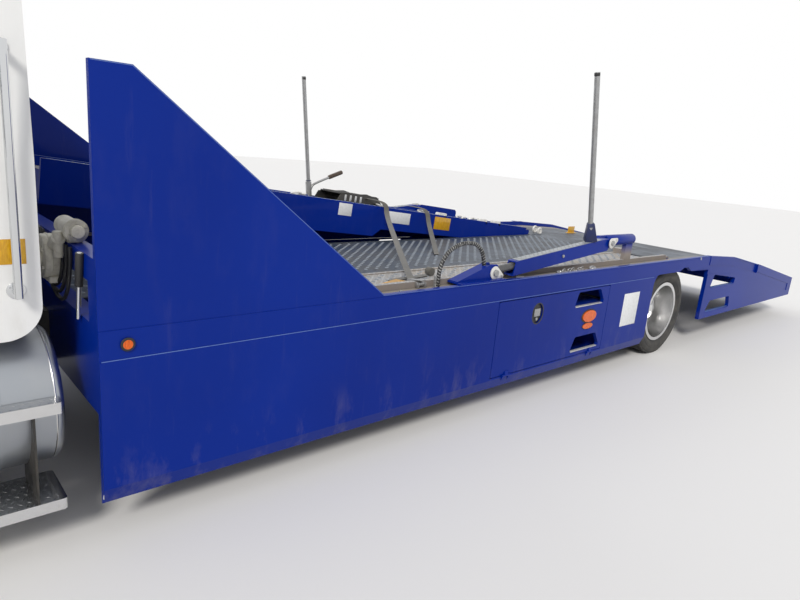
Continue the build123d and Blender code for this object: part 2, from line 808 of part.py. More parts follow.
def hood_block(inset):
    # The engine cover and the fenders; the inset pair reaches down and back to open them
    drop = 400 if inset else 0
    back_x = hood_back_x - (200 if inset else 0)
    with BuildPart() as cover:
        with BuildSketch(Plane.XZ) as profile:
            Polygon((back_x, 850 - drop), (back_x, cover_back_top - inset),
                    (hood_front_x - 330, cover_brow - inset), (hood_front_x - 40 - inset, cover_nose - inset),
                    (hood_front_x - inset, cover_lip - inset), (hood_front_x - inset, 800 - drop),
                    align=None)
            brows = profile.vertices().filter_by(lambda v: v.Y > 1200 and v.X > hood_back_x + 10)
            fillet(brows, 110 - inset)
        extrude(amount=cover_back_half + 10, both=True)
        with BuildSketch(Plane.XY.offset(300)):
            Polygon((back_x, cover_back_half - inset), (hood_front_x, cover_front_half - inset),
                    (hood_front_x, inset - cover_front_half), (back_x, inset - cover_back_half), align=None)
        extrude(amount=2000, mode=Mode.INTERSECT)
        fillet(cover.edges().filter_by(lambda e: e.center().Z > 1200 and abs(e.center().Y) > 400
                                       and e.center().X > back_x + 5), 100 - inset)
    with BuildPart() as fenders:
        with BuildSketch(Plane.XZ) as profile:
            Polygon((back_x, 700 - drop), (back_x, fender_top - 160 - inset),
                    (hood_back_x + 200, fender_top - inset), (hood_front_x - 420, fender_top - inset),
                    (hood_front_x - 100 - inset, fender_nose - inset), (hood_front_x - inset, 960 - inset),
                    (hood_front_x - inset, fender_low - drop), (hood_front_x - 130, fender_low - drop),
                    align=None)
            brows = profile.vertices().filter_by(lambda v: v.Y > 900 and v.X > hood_back_x + 10)
            fillet(brows, 90 - inset)
        extrude(amount=fender_outer - inset, both=True)
        with BuildSketch(Plane.XY.offset(100)) as plan:
            Rectangle(2 * hood_front_x - 2 * inset, 2 * fender_outer - 2 * inset)
            fillet(plan.vertices(), 230 - inset)
        extrude(amount=2000, mode=Mode.INTERSECT)
        # The front view stands a millimetre proud, so its arcs cross the flat faces
        with BuildSketch(Plane.YZ) as front_view:
            Rectangle(2 * (fender_outer - inset + crown_proud), 2 * (fender_top - inset + crown_proud))
            fillet(front_view.vertices(), 100 - inset)
        extrude(amount=nose_x, mode=Mode.INTERSECT)
    return cover.part, fenders.part


outer_cover, outer_fenders = hood_block(0)
inner_cover, inner_fenders = hood_block(hood_wall)
grille_half = 400
grille_low = 860
grille_high = 1390
lamp_y = 880
lamp_z = 915
lamp_width = 330
lamp_height = 150
ear_run = hood_front_x - hood_wall - hood_pivot_x + 10
with BuildPart() as hood:
    add(outer_cover)
    add(outer_fenders)
    with BuildSketch(Plane.XZ):
        with Locations((hood_front_x - 60, hood_chin - 300)):
            Rectangle(400, 600)
    extrude(amount=560, both=True, mode=Mode.SUBTRACT)
    add(inner_cover, mode=Mode.SUBTRACT)
    add(inner_fenders, mode=Mode.SUBTRACT)
    with BuildSketch(Plane.XZ):
        with Locations((front_axle_x, axle_z)):
            Circle(arch_radius)
    extrude(amount=1400, both=True, mode=Mode.SUBTRACT)
    with BuildSketch(Plane.YZ.offset(hood_front_x - 250)) as hole:
        with Locations((0, (grille_low + grille_high) / 2)):
            Rectangle(2 * grille_half, grille_high - grille_low)
        with Locations((lamp_y, lamp_z), (-lamp_y, lamp_z)):
            Rectangle(lamp_width, lamp_height)
        fillet(hole.vertices(), 30)
    extrude(amount=400, mode=Mode.SUBTRACT)
    for name, side in sides:
        with BuildSketch(wall_plane(side, hood_ear_inner, hood_ear_inner + hood_ear, hood_pivot_x,
                                    hood_pivot_z)):
            Circle(hood_eye)
            Polygon((-hood_eye, 0), (ear_run, 110), (ear_run, 10), (hood_eye, 0), align=None)
            Circle(hood_pin + pin_play, mode=Mode.SUBTRACT)
        extrude(amount=hood_ear)
save(hood, "hood")

with BuildPart() as grille:
    with BuildSketch(Plane.YZ.offset(hood_front_x - 40)) as surround:
        with Locations((0, (grille_low + grille_high) / 2)):
            Rectangle(2 * grille_half, grille_high - grille_low)
        fillet(surround.vertices(), 30)
        offset(amount=-35, mode=Mode.SUBTRACT)
    extrude(amount=50)
    bar_count = 7
    bar_pitch = (grille_high - grille_low - 70) / (bar_count + 1)
    with BuildSketch(Plane.YZ.offset(hood_front_x - 25)):
        for index in range(bar_count):
            with Locations((0, grille_low + 35 + bar_pitch * (index + 1))):
                Rectangle(2 * grille_half - 60, 22)
    extrude(amount=25)
save(grille, "grille")

with BuildPart() as headlamps:
    with BuildSketch(Plane.YZ.offset(hood_front_x - 110)) as lens:
        with Locations((lamp_y, lamp_z), (-lamp_y, lamp_z)):
            Rectangle(lamp_width, lamp_height)
        fillet(lens.vertices(), 30)
    extrude(amount=115)
    add(outer_fenders, mode=Mode.INTERSECT)
save(headlamps, "headlamps")

# Bumper and grab handles
bumper_low = 400
bumper_high = 735
bumper_straight = 900
bumper_half = 1190
bumper_wrap = 170
bumper_plate = 60
with BuildPart() as bumper:
    with BuildSketch(Plane.XY.offset(bumper_low)) as plan:
        left_edge = [(nose_x, bumper_straight), (nose_x - bumper_wrap, bumper_half),
                     (nose_x - bumper_wrap - 45, bumper_half - 40),
                     (nose_x - bumper_plate, bumper_straight - 20)]
        Polygon(*left_edge, *[(x, -y) for x, y in reversed(left_edge)], align=None)
        fillet(plan.vertices().group_by(Axis.X)[-1], 120)
    extrude(amount=bumper_high - bumper_low)
save(bumper, "front_bumper")

handle_reach = 55
handle_radius = 16
handle_low = 1130
handle_high = cab_roof - 600
with BuildPart() as handles:
    for name, side in sides:
        handle_x = cab_back_x + 90
        handle_y = cab_half_width + handle_reach
        with BuildSketch(Plane.XY.offset(handle_low)):
            with Locations((handle_x, side * handle_y)):
                Circle(handle_radius)
        extrude(amount=handle_high - handle_low)
        for height in (handle_low + 20, handle_high - 20):
            rise = max(0, height - cab_belt)
            lean_in = (cab_half_width - cab_roof_half) * rise / (cab_roof - cab_belt)
            stub = handle_reach + lean_in + (2 if lean_in else 0)
            with BuildSketch(wall_plane(side, handle_y - stub, handle_y, handle_x, height)):
                Circle(handle_radius)
            extrude(amount=stub)
    add(cab_outside, mode=Mode.SUBTRACT)
save(handles, "grab_handles")

# Body sides: one skin each, with a fairing behind the cab, the tool locker's doorway and
# an arch over the rear wheels
hinge_x = rear_axle_x - hinge_setback
strut_pin_x = hinge_x + strut_pin_ahead
fairing_foot_x = strut_pin_x + strut_to_fairing
arch_front_x = rear_axle_x + arch_front
locker_rear_x = arch_front_x + locker_to_arch
locker_front_x = locker_rear_x + locker_length
locker_x = (locker_rear_x + locker_front_x) / 2
locker_z = (locker_low + locker_high) / 2
side_outline = [(body_front_x, skirt_bottom), (body_front_x, fairing_top),
                (body_front_x - fairing_crest, fairing_top), (fairing_foot_x, deck_edge),
                (tail_front_x, deck_edge), (tail_front_x, arch_top - 25),
                (rear_axle_x - 360, arch_top - 12), (rear_axle_x - 270, arch_top + arch_bump),
                (rear_axle_x - 170, arch_top + arch_bump), (rear_axle_x - 80, arch_top),
                (arch_front_x, arch_top), (arch_front_x, skirt_bottom)]


def rounded_slot(corners, start_x):
    with BuildSketch() as slot:
        Polygon(*[(start_x + x, z) for x, z in corners], align=None)
        fillet(slot.vertices(), slot_corner)
    return slot.sketch


deck_openings = [rounded_slot(corners, locker_rear_x) for corners in deck_slots]
tail_openings = [rounded_slot(corners, tail_front_x) for corners in tail_slots]

# Locker hinges along the doorway's lower edge, outside the skin
locker_axis_y = half_width + 9
locker_axis_z = locker_low + 2
locker_hinges = (locker_front_x - 180, locker_rear_x + 180)
locker_pin = 4
locker_knuckle_radius = 8
latch_back = 480
latch_rise = 150
side_lamp_ahead = 280


def locker_knuckle(side, start, length, way):
    with BuildSketch(Plane.YZ.offset(start)) as leaf:
        with Locations((side * locker_axis_y, locker_axis_z)):
            Circle(locker_knuckle_radius)
        Polygon((side * half_width, locker_axis_z + way * 4), (side * half_width, locker_axis_z + way * 34),
                (side * (half_width + 4), locker_axis_z + way * 34),
                (side * (locker_axis_y + 4), locker_axis_z + way * 6), align=None)
    extrude(leaf.sketch, amount=length)


for name, side in sides:
    with BuildPart() as body_side:
        with BuildSketch(wall_plane(side, half_width - skin, half_width)) as outline:
            Polygon(*side_outline, align=None)
            fillet(outline.vertices().sort_by_distance((arch_front_x, arch_top, 0))[:1], arch_corner)
            with Locations((locker_x, locker_z)):
                Rectangle(locker_length, locker_high - locker_low, mode=Mode.SUBTRACT)
        extrude(amount=skin)
        middle_x = (body_front_x + tail_front_x) / 2
        for low, high, recess in ((panel_top, strip_top, strip_recess),
                                  (strip_top, fairing_top, fairing_recess)):
            with BuildSketch(wall_plane(side, half_width - recess, half_width, middle_x, (low + high) / 2)):
                Rectangle(body_front_x - tail_front_x, high - low)
            extrude(amount=recess, mode=Mode.SUBTRACT)
        with BuildSketch(Plane.YZ.offset(arch_front_x)):
            Polygon((side * half_width, skirt_bottom), (side * half_width, skirt_bottom + skirt_fold),
                    (side * (half_width - skirt_tuck), skirt_bottom), align=None)
        extrude(amount=body_front_x - arch_front_x, mode=Mode.SUBTRACT)
        for station in locker_hinges:
            for start in (station - 50, station + 20.5):
                locker_knuckle(side, start, 29.5, -1)
            with BuildSketch(Plane.YZ.offset(station - 50)):
                with Locations((side * locker_axis_y, locker_axis_z)):
                    Circle(locker_pin)
            extrude(amount=100)
    save(body_side, f"body_side_{name}")

    with BuildPart() as locker_door:
        door_inner = half_width - skin + 10
        with BuildSketch(wall_plane(side, door_inner, half_width)) as panel:
            with Locations((locker_x, locker_z)):
                Rectangle(locker_length - 2 * locker_gap, locker_high - locker_low - 2 * locker_gap)
            fillet(panel.vertices(), 12)
            for opening in deck_openings:
                add(opening, mode=Mode.SUBTRACT)
        extrude(amount=half_width - door_inner)
        with BuildSketch(wall_plane(side, half_width - 18, half_width, locker_front_x - latch_back,
                                    locker_z + latch_rise)):
            SlotOverall(170, 140, rotation=90)
        extrude(amount=18, mode=Mode.SUBTRACT)
        for station in locker_hinges:
            locker_knuckle(side, station - 20, 40, 1)
            with BuildSketch(Plane.YZ.offset(station - 20)):
                with Locations((side * locker_axis_y, locker_axis_z)):
                    Circle(locker_pin + pin_play)
            extrude(amount=40, mode=Mode.SUBTRACT)
    save(locker_door, f"locker_door_{name}")

    # An oval amber lamp over a slim reflector between the door's step slots
    with BuildPart() as side_lamps:
        lamp_x = locker_rear_x + side_lamp_ahead
        for height, half, rise, proud in ((605, 100, 50, 12), (519, 75, 25, 6)):
            with BuildSketch(wall_plane(side, half_width, half_width + proud, lamp_x, height)):
                Ellipse(half, rise)
            extrude(amount=proud)
    save(side_lamps, f"side_lamps_{name}")

# Deck structure: outriggers from rail to skin, walls on them beside the centre floor
outrigger_stations = ((body_front_x + locker_front_x) / 2, locker_front_x + 120, locker_rear_x - 120,
                      arch_front_x + 80)
with BuildPart() as deck_frame:
    for name, side in sides:
        for station in outrigger_stations:
            with BuildSketch(Plane.XY.offset(beam_top - beam_size)):
                with Locations((station, side * (rail_outer + half_width - skin) / 2)):
                    Rectangle(beam_size, half_width - skin - rail_outer)
            extrude(amount=beam_size)
save(deck_frame, "deck_frame")

with BuildPart() as deck_walls:
    for name, side in sides:
        with BuildSketch(wall_plane(side, deck_wall_outer - deck_wall, deck_wall_outer)):
            Polygon((body_front_x - cross_frame_depth, beam_top),
                    (body_front_x - cross_frame_depth, floor_top - floor_thickness),
                    (tail_front_x, floor_top - floor_thickness), (tail_front_x, beam_top), align=None)
        extrude(amount=deck_wall)
save(deck_walls, "deck_walls")

# Locker boxes: open toward the doorway, a rim wider than it, seated on the skin's inner face
with BuildPart() as locker_boxes:
    for name, side in sides:
        for inset, mode in ((0, Mode.ADD), (locker_wall, Mode.SUBTRACT)):
            with BuildSketch(Plane.XY.offset(locker_low - locker_rim + inset)):
                with Locations((locker_x, side * (locker_inner + inset + half_width - skin) / 2)):
                    Rectangle(locker_length + 2 * (locker_rim - inset),
                              half_width - skin - locker_inner - inset)
            extrude(amount=locker_top - locker_low + locker_rim - 2 * inset, mode=mode)
save(locker_boxes, "locker_boxes")

# Cross frame behind the cab: a low box across the rails, uprights and an upper bar
frame_bar_low = 1180
frame_bar_high = 1290
frame_x = body_front_x - cross_frame_depth / 2
with BuildPart() as cross_frame:
    for low, high in ((rail_bottom + 20, deck_edge), (frame_bar_low, frame_bar_high)):
        with BuildSketch(Plane.XY.offset(low)):
            with Locations((frame_x, 0)):
                Rectangle(cross_frame_depth, 2 * (half_width - skin))
        extrude(amount=high - low)
    for name, side in sides:
        with BuildSketch(Plane.XY.offset(deck_edge)):
            with Locations((frame_x, side * (half_width - skin - 45)), (frame_x, side * 330)):
                Rectangle(cross_frame_depth, 90)
        extrude(amount=frame_bar_low - deck_edge)
    with BuildSketch(Plane.XZ):
        with Locations((frame_x, (rail_bottom + rail_top) / 2)):
            Rectangle(cross_frame_depth + 10, rail_top - rail_bottom + 4)
    extrude(amount=rail_outer, both=True, mode=Mode.SUBTRACT)
save(cross_frame, "cross_frame")

# Floors: a centre floor, a full-width floor behind the hinges, the sloping tail floor and
# a ledge between each runway and its side. A groove parts the centre floor from the rear.
runway_length = body_front_x - runway_front_gap - hinge_x
rear_floor_x = hinge_x - hinge_radius - floor_play
floor_front_x = body_front_x - cross_frame_depth
ledge_y = (ledge_inner + half_width - skin) / 2
with BuildPart() as deck_floor:
    with BuildSketch(Plane.XY.offset(floor_top - floor_thickness)):
        Polygon((floor_front_x, deck_wall_outer), (rear_floor_x, deck_wall_outer),
                (rear_floor_x, half_width - skin), (tail_front_x, half_width - skin),
                (tail_front_x, -half_width + skin), (rear_floor_x, -half_width + skin),
                (rear_floor_x, -deck_wall_outer), (floor_front_x, -deck_wall_outer), align=None)
    extrude(amount=floor_thickness)
    with BuildSketch(Plane.XY.offset(floor_top - floor_groove)):
        with Locations((rear_floor_x + floor_groove / 2, 0)):
            Rectangle(floor_groove, 2 * deck_wall_outer)
    extrude(amount=floor_groove, mode=Mode.SUBTRACT)
    with BuildSketch(Plane.XZ):
        tops = [(tail_front_x, floor_top)]
        tops += [(x, tail_top(x) - tail_floor_drop) for x in (tail_knee_x, tail_hip_x, tail_x + 60)]
        Polygon(*tops, *[(x, z - floor_thickness) for x, z in reversed(tops)], align=None)
    extrude(amount=half_width - skin, both=True)
    for name, side in sides:
        with BuildSketch(Plane.XY.offset(ledge_top - ledge_thickness)):
            with Locations(((floor_front_x + rear_floor_x) / 2, side * ledge_y)):
                Rectangle(floor_front_x - rear_floor_x, half_width - skin - ledge_inner)
        extrude(amount=ledge_thickness)
save(deck_floor, "deck_floor")

# Tail: sloping sides with a pressed band and a strap tray, an end with lamp pockets
tail_lamp_radius = 55
tail_lamp_depth = 20
tail_lamp_places = [(side * y, 410) for side in (1, -1) for y in (1000, 820)]
band_stations = (tail_front_x, tail_knee_x, tail_hip_x, tail_x + 150)
tray_front_x = rear_axle_x - strap_tray_start
tray_stations = (tray_front_x, tail_knee_x, tray_front_x - strap_tray_length)
with BuildPart() as tail:
    for name, side in sides:
        with BuildSketch(wall_plane(side, half_width - skin, half_width)):
            Polygon((tail_front_x, tail_bottom), (tail_front_x, tail_top(tail_front_x)),
                    (tail_knee_x, tail_knee_top), (tail_hip_x, tail_hip_top),
                    (tail_x, tail_end_top), (tail_x, tail_bottom), align=None)
            for opening in tail_openings:
                add(opening, mode=Mode.SUBTRACT)
        extrude(amount=skin)
        with BuildSketch(wall_plane(side, half_width - tail_band_depth, half_width)):
            Polygon(*[(x, tail_top(x) - tail_band_high) for x in band_stations],
                    *[(x, tail_top(x) - tail_band_low) for x in reversed(band_stations)], align=None)
        extrude(amount=tail_band_depth, mode=Mode.SUBTRACT)
        with BuildSketch(wall_plane(side, half_width - strap_tray_depth, half_width)):
            Polygon(*[(x, tail_top(x) + 5) for x in tray_stations],
                    *[(x, tail_top(x) - strap_tray_height) for x in reversed(tray_stations)], align=None)
        extrude(amount=strap_tray_depth, mode=Mode.SUBTRACT)
    with BuildSketch(Plane.XZ):
        Polygon((tail_x, tail_bottom), (tail_x, tail_end_top - tail_floor_drop),
                (tail_x + 60, tail_top(tail_x + 60) - tail_floor_drop), (tail_x + 60, tail_bottom),
                align=None)
        for station in (rail_back_x - 60, tail_hip_x):
            front = tail_top(station) - tail_floor_drop - floor_thickness
            back = tail_top(station - 80) - tail_floor_drop - floor_thickness
            Polygon((station, front - 208), (station, front), (station - 80, back),
                    (station - 80, front - 208), align=None)
    extrude(amount=half_width - skin, both=True)
    with BuildSketch(Plane.YZ.offset(tail_x)):
        with Locations(*tail_lamp_places):
            Circle(tail_lamp_radius)
    extrude(amount=tail_lamp_depth, mode=Mode.SUBTRACT)
save(tail, "tail_frame")

# Runways: a channel with an outer lip, deeper toward the front, and an arm for its strut.
# Sketches on the hinge plane run forward from the hinge line.
floor_drop = floor_top - hinge_z
lip_top = floor_drop + runway_lip
mid_foot = floor_drop - runway_rear_depth
front_foot = floor_drop - runway_front_depth


def runway_plane(side, inner, outer, tilt):
    return wall_plane(side, inner, outer, hinge_x, hinge_z, tilt)


carriers = {}
front_run = [(runway_step, mid_foot - 15), (runway_step + 90, front_foot), (runway_length, front_foot - 5)]
inner_foot = [(runway_end_gap, floor_drop - 60), (runway_end_gap + 90, mid_foot), *front_run]
outer_foot = [(runway_end_gap, floor_drop - floor_thickness), (shallow_length, floor_drop - floor_thickness),
              (shallow_length + 120, mid_foot), *front_run]
rib_stations = [share * runway_length for share in (0.29, 0.55, 0.8)]
for name, side, tilt, pin_above, inner_lip in runways:
    with BuildPart() as runway:
        # Inner wall, outer wall with its lip: inner face, foot, top above the hinge line
        for inner, foot, top in ((runway_inner, inner_foot, floor_drop + inner_lip),
                                 (runway_outer - runway_wall, outer_foot, lip_top)):
            with BuildSketch(runway_plane(side, inner, inner + runway_wall, tilt)):
                Polygon((runway_end_gap, top), *foot, (runway_length, top), align=None)
            extrude(amount=runway_wall)
        with BuildSketch(runway_plane(side, runway_inner, runway_outer, tilt)):
            Polygon((runway_end_gap, floor_drop - floor_thickness), (runway_end_gap, floor_drop),
                    (runway_length, floor_drop), (runway_length, floor_drop - floor_thickness), align=None)
            for start in rib_stations:
                Polygon((start, floor_drop - 100), (start, floor_drop), (start + 60, floor_drop),
                        (start + 60, floor_drop - 100), align=None)
            Polygon((runway_length - 20, front_foot + 10), (runway_length - 20, floor_drop),
                    (runway_length, floor_drop), (runway_length, front_foot + 10), align=None)
        extrude(amount=runway_outer - runway_inner)
        for inner in (runway_inner, runway_outer - knuckle_length):
            with BuildSketch(runway_plane(side, inner, inner + knuckle_length, tilt)):
                Circle(hinge_radius)
                Polygon((0, -hinge_radius), (0, hinge_radius), (90, lip_top - 20),
                        (90, floor_drop - floor_thickness), align=None)
                Circle(hinge_pin + pin_play, mode=Mode.SUBTRACT)
            extrude(amount=knuckle_length)
        # The arm: a bar forward to the strut's pin on a foot that stands in the outer wall
        bar_low = pin_above - arm_bar_half
        bar_high = pin_above + arm_bar_half
        with BuildSketch(runway_plane(side, runway_outer - runway_wall, runway_outer, tilt)) as arm:
            Polygon((arm_foot_back, floor_drop), (arm_foot_back, bar_high),
                    (arm_pin_ahead + arm_bar_half, bar_high), (arm_pin_ahead + arm_bar_half, bar_low),
                    (arm_foot_front, bar_low), (arm_foot_front, floor_drop), align=None)
            fillet(arm.vertices().group_by(Axis.X)[-1], arm_bar_half - 5)
            fillet(arm.vertices().sort_by_distance((arm_foot_back, bar_high, 0))[:1], 40)
        extrude(amount=runway_wall)
    save(runway, f"runway_{name}")
    carriers[f"runway_{name}"] = runway.part

# Lift struts. The strut's frame starts at the pin on the body and runs to the arm's pin.
strut_y = (strut_inner + strut_outer) / 2


def turned(ahead, above, tilt):
    # Where a point of a runway's side view stands once the runway is turned up
    turn = radians(tilt)
    return (hinge_x + ahead * cos(turn) - above * sin(turn), hinge_z + ahead * sin(turn) + above * cos(turn))


for name, side, tilt, pin_above, inner_lip in runways:
    pin_x, pin_z = turned(arm_pin_ahead, pin_above, tilt)
    strut_length = hypot(pin_x - strut_pin_x, pin_z - strut_pin_z)
    lean = degrees(atan2(strut_pin_z - pin_z, strut_pin_x - pin_x))
    closed_x, closed_z = turned(arm_pin_ahead, pin_above, 0)
    closed_length = hypot(closed_x - strut_pin_x, closed_z - strut_pin_z)
    reach = strut_length - closed_length
    barrel_length = closed_length - sheath_start
    along = Vector(-cos(radians(lean)), 0, -sin(radians(lean)))
    strut_start = Vector(strut_pin_x, side * strut_y, strut_pin_z)
    # Sketches run forward, so the strut lies on the negative side of its own pin
    with BuildPart() as barrel:
        with BuildSketch(wall_plane(side, strut_inner + 12, strut_outer - 12, strut_pin_x, strut_pin_z,
                                    lean)):
            Circle(barrel_eye)
            Circle(strut_pin + pin_play, mode=Mode.SUBTRACT)
        extrude(amount=strut_outer - strut_inner - 24)
        with BuildSketch(Plane(origin=strut_start + along * (barrel_eye - 4), z_dir=along)):
            Circle(barrel_radius)
        extrude(amount=barrel_length - barrel_eye + 4)
    save(barrel, f"lift_barrel_{name}")

    sheath_front = -sheath_start - reach
    with BuildPart() as sheath:
        with BuildSketch(wall_plane(side, strut_inner, strut_outer, strut_pin_x, strut_pin_z, lean)):
            Polygon((sheath_front, -sheath_low), (sheath_front - 40, sheath_high),
                    (-strut_length + 60, sheath_high), (-strut_length - 5, 30), (-strut_length - 35, 0),
                    (-strut_length, -35), (-strut_length + 40, -sheath_low), align=None)
        extrude(amount=strut_outer - strut_inner)
        with BuildSketch(wall_plane(side, strut_inner + sheath_wall, strut_outer - sheath_wall, strut_pin_x,
                                    strut_pin_z, lean)):
            Polygon((sheath_front + 20, sheath_wall - sheath_low),
                    (sheath_front + 20, sheath_high - sheath_wall),
                    (sheath_front - sheath_mouth, sheath_high - sheath_wall),
                    (sheath_front - sheath_mouth, sheath_wall - sheath_low), align=None)
        extrude(amount=strut_outer - strut_inner - 2 * sheath_wall, mode=Mode.SUBTRACT)
        with BuildSketch(Plane(origin=strut_start + along * (sheath_start + reach - 20), z_dir=along)):
            Circle(barrel_radius + hub_play)
        extrude(amount=closed_length - sheath_start - 90, mode=Mode.SUBTRACT)
        with BuildSketch(wall_plane(side, strut_outer, strut_outer + 14, pin_x, pin_z, lean)):
            Circle(24)
        extrude(amount=14)
    save(sheath, f"lift_sheath_{name}")
    carriers[f"lift_sheath_{name}"] = sheath.part
    carriers[f"strut_{name}"] = (strut_start, along, lean, strut_length)

# Brackets on the fixed body: hinge lugs with their pins behind the runways, and the boxes
# that hold the struts' front pins on the sides' top edge
lug_back = rear_floor_x - hinge_x - 70
base_outer = half_width - fairing_recess
cover_start = 66
cover_end = 370
cover_rise = 104
with BuildPart() as brackets:
    for name, side in sides:
        for knuckle, lug in ((runway_inner, runway_inner + knuckle_length + lug_play),
                             (runway_outer - knuckle_length,
                              runway_outer - knuckle_length - lug_play - lug_thickness)):
            with BuildSketch(wall_plane(side, lug, lug + lug_thickness, hinge_x, hinge_z)):
                Circle(hinge_radius)
                Polygon((0, hinge_radius), (lug_back, floor_drop + 12), (lug_back, floor_drop),
                        (rear_floor_x - hinge_x, floor_drop), (0, -hinge_radius), align=None)
            extrude(amount=lug_thickness)
            low = min(knuckle, lug)
            high = max(knuckle + knuckle_length, lug + lug_thickness)
            with BuildSketch(wall_plane(side, low, high, hinge_x, hinge_z)):
                Circle(hinge_pin)
            extrude(amount=high - low)
    for name, side in sides:
        with BuildSketch(Plane.XY.offset(deck_edge)):
            with Locations((strut_pin_x + 150, side * (strut_inner + base_outer) / 2)):
                Rectangle(bracket_length, base_outer - strut_inner)
        extrude(amount=bracket_base)
        for inner in (strut_inner, strut_outer - bracket_plate):
            with BuildSketch(wall_plane(side, inner, inner + bracket_plate, strut_pin_x, deck_edge)) as cheek:
                Polygon((-45, 0), (-45, 75), (-25, 108), (40, 112), (cover_end, bracket_base), (cover_end, 0),
                        align=None)
                fillet(cheek.vertices().group_by(Axis.Y)[-2:], 20)
            extrude(amount=bracket_plate)
        with BuildSketch(wall_plane(side, strut_inner, strut_outer, strut_pin_x, deck_edge)):
            Polygon((cover_start, cover_rise - 12), (cover_start, cover_rise), (cover_end, bracket_base + 4),
                    (cover_end, bracket_base - 8), align=None)
        extrude(amount=strut_outer - strut_inner)
        with BuildSketch(wall_plane(side, strut_inner, strut_outer + 6, strut_pin_x, strut_pin_z)):
            Circle(strut_pin)
        extrude(amount=strut_outer + 6 - strut_inner)
save(brackets, "deck_brackets")

# Hydraulic hoses: an arch from each ledge over to the sloping cover of the strut's bracket,
# with arcs as large as the runs allow
cover_slope = Vector(cover_end - cover_start, bracket_base + 4 - cover_rise).normalized()
cover_normal = Vector(-cover_slope.Y, cover_slope.X)
hose_end = Vector(strut_pin_x + cover_start, deck_edge + cover_rise) + cover_slope * 8
hose_turn = hose_end + cover_normal * 95
hose_foot_x = strut_pin_x + 510
hose_route = [(hose_foot_x, ledge_top), (hose_foot_x, ledge_top + 130), (hose_foot_x - 65, ledge_top + 235),
              (hose_foot_x - 200, ledge_top + 285), (hose_foot_x - 330, ledge_top + 275),
              (hose_turn.X, hose_turn.Y), (hose_end.X, hose_end.Y)]


def bend_radii(points):
    radii = []
    for before, corner, after in zip(points, points[1:], points[2:]):
        first = Vector(*corner) - Vector(*before)
        second = Vector(*after) - Vector(*corner)
        turn = radians(first.get_angle(second))
        radii.append(0.45 * min(first.length, second.length) / tan(turn / 2))
    return radii


hose_radii = bend_radii(hose_route)
print("hose bends", [round(radius) for radius in hose_radii])
with BuildPart() as hoses:
    for name, side in sides:
        with BuildLine(wall_plane(side, strut_y, strut_y)) as route:
            FilletPolyline(*hose_route, radius=hose_radii)
        with BuildSketch(Plane(origin=route.line @ 0, z_dir=route.line % 0)) as section:
            Circle(hose_radius)
        sweep(sections=section.sketch, path=route.line)
save(hoses, "lift_hoses")

# Guide posts: one stands on the left sheath, one on the right runway's lip
post_seat = 4
post_to_arm = 258
post_on_runway = 2850
left_post_height = 1287
left_post_lean = 280
right_post_height = 1070
right_post_lean = 120
left_start, left_along, left_lean, left_length = carriers["strut_left"]
left_up = Vector(-sin(radians(left_lean)), 0, cos(radians(left_lean)))
left_foot = left_start + left_along * (left_length - post_to_arm) + left_up * (sheath_high - post_seat)
left_top = left_foot + Vector(left_post_lean, 0, left_post_height)
right_foot_x, right_foot_z = turned(post_on_runway, lip_top - post_seat, runways[1][2])
right_foot = Vector(right_foot_x, -runway_outer + runway_wall / 2, right_foot_z)
right_top = right_foot + Vector(right_post_lean, 0, right_post_height)
for name, carrier, foot, top, radius in (
        ("left", carriers["lift_sheath_left"], left_foot, left_top, 21),
        ("right", carriers["runway_right"], right_foot, right_top, 18)):
    with BuildPart() as post:
        run = top - foot
        with BuildSketch(Plane(origin=foot, z_dir=run)):
            Circle(radius)
        extrude(amount=run.length)
        with BuildSketch(Plane(origin=foot, z_dir=run)):
            Circle(radius + 10)
        extrude(amount=post_foot)
        add(carrier, mode=Mode.SUBTRACT)
    save(post, f"guide_post_{name}")

# Winch on the cross frame behind the cab: a motor with its drum's flange, on a foot
winch_y = 700
winch_length = 200
winch_radius = 45
winch_foot = 30
winch_z = frame_bar_high + winch_foot + winch_radius - 20
winch_x = body_front_x - 30
with BuildPart() as winch:
    for inner, outer, radius in ((winch_y, winch_y + winch_length - 20, winch_radius),
                                 (winch_y + winch_length - 20, winch_y + winch_length, winch_radius + 8)):
        with BuildSketch(wall_plane(1, inner, outer, winch_x, winch_z)):
            Circle(radius)
        extrude(amount=outer - inner)
    with BuildSketch(Plane.XY.offset(frame_bar_high)):
        with Locations((winch_x, winch_y + winch_length / 2 - 10)):
            Rectangle(2 * winch_foot, winch_length - 20)
    extrude(amount=winch_foot)
save(winch, "winch")

# Lamps: amber side markers, red tail lamps, amber roof markers
marker_y = half_width - strip_recess
marker_z = (panel_top + strip_top) / 2
with BuildPart() as amber_lamps:
    for name, side in sides:
        with BuildSketch(wall_plane(side, marker_y, marker_y + 10, body_front_x - 114, marker_z)):
            Circle(28)
        extrude(amount=10)
    with BuildSketch(Plane.XY.offset(cab_roof - 30)):
        with Locations(*[(cab_front_x - screen_top_back - 80, y) for y in (-780, -180, 0, 180, 780)]):
            SlotOverall(120, 50)
    extrude(amount=60)
    add(cab_outside, mode=Mode.SUBTRACT)
save(amber_lamps, "amber_lamps")

with BuildPart() as tail_lamps:
    with BuildSketch(Plane.YZ.offset(tail_x)):
        with Locations(*tail_lamp_places):
            Circle(tail_lamp_radius)
    extrude(amount=tail_lamp_depth)
save(tail_lamps, "tail_lamps")
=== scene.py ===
import json
import math

import bpy
from mathutils import Matrix, Vector


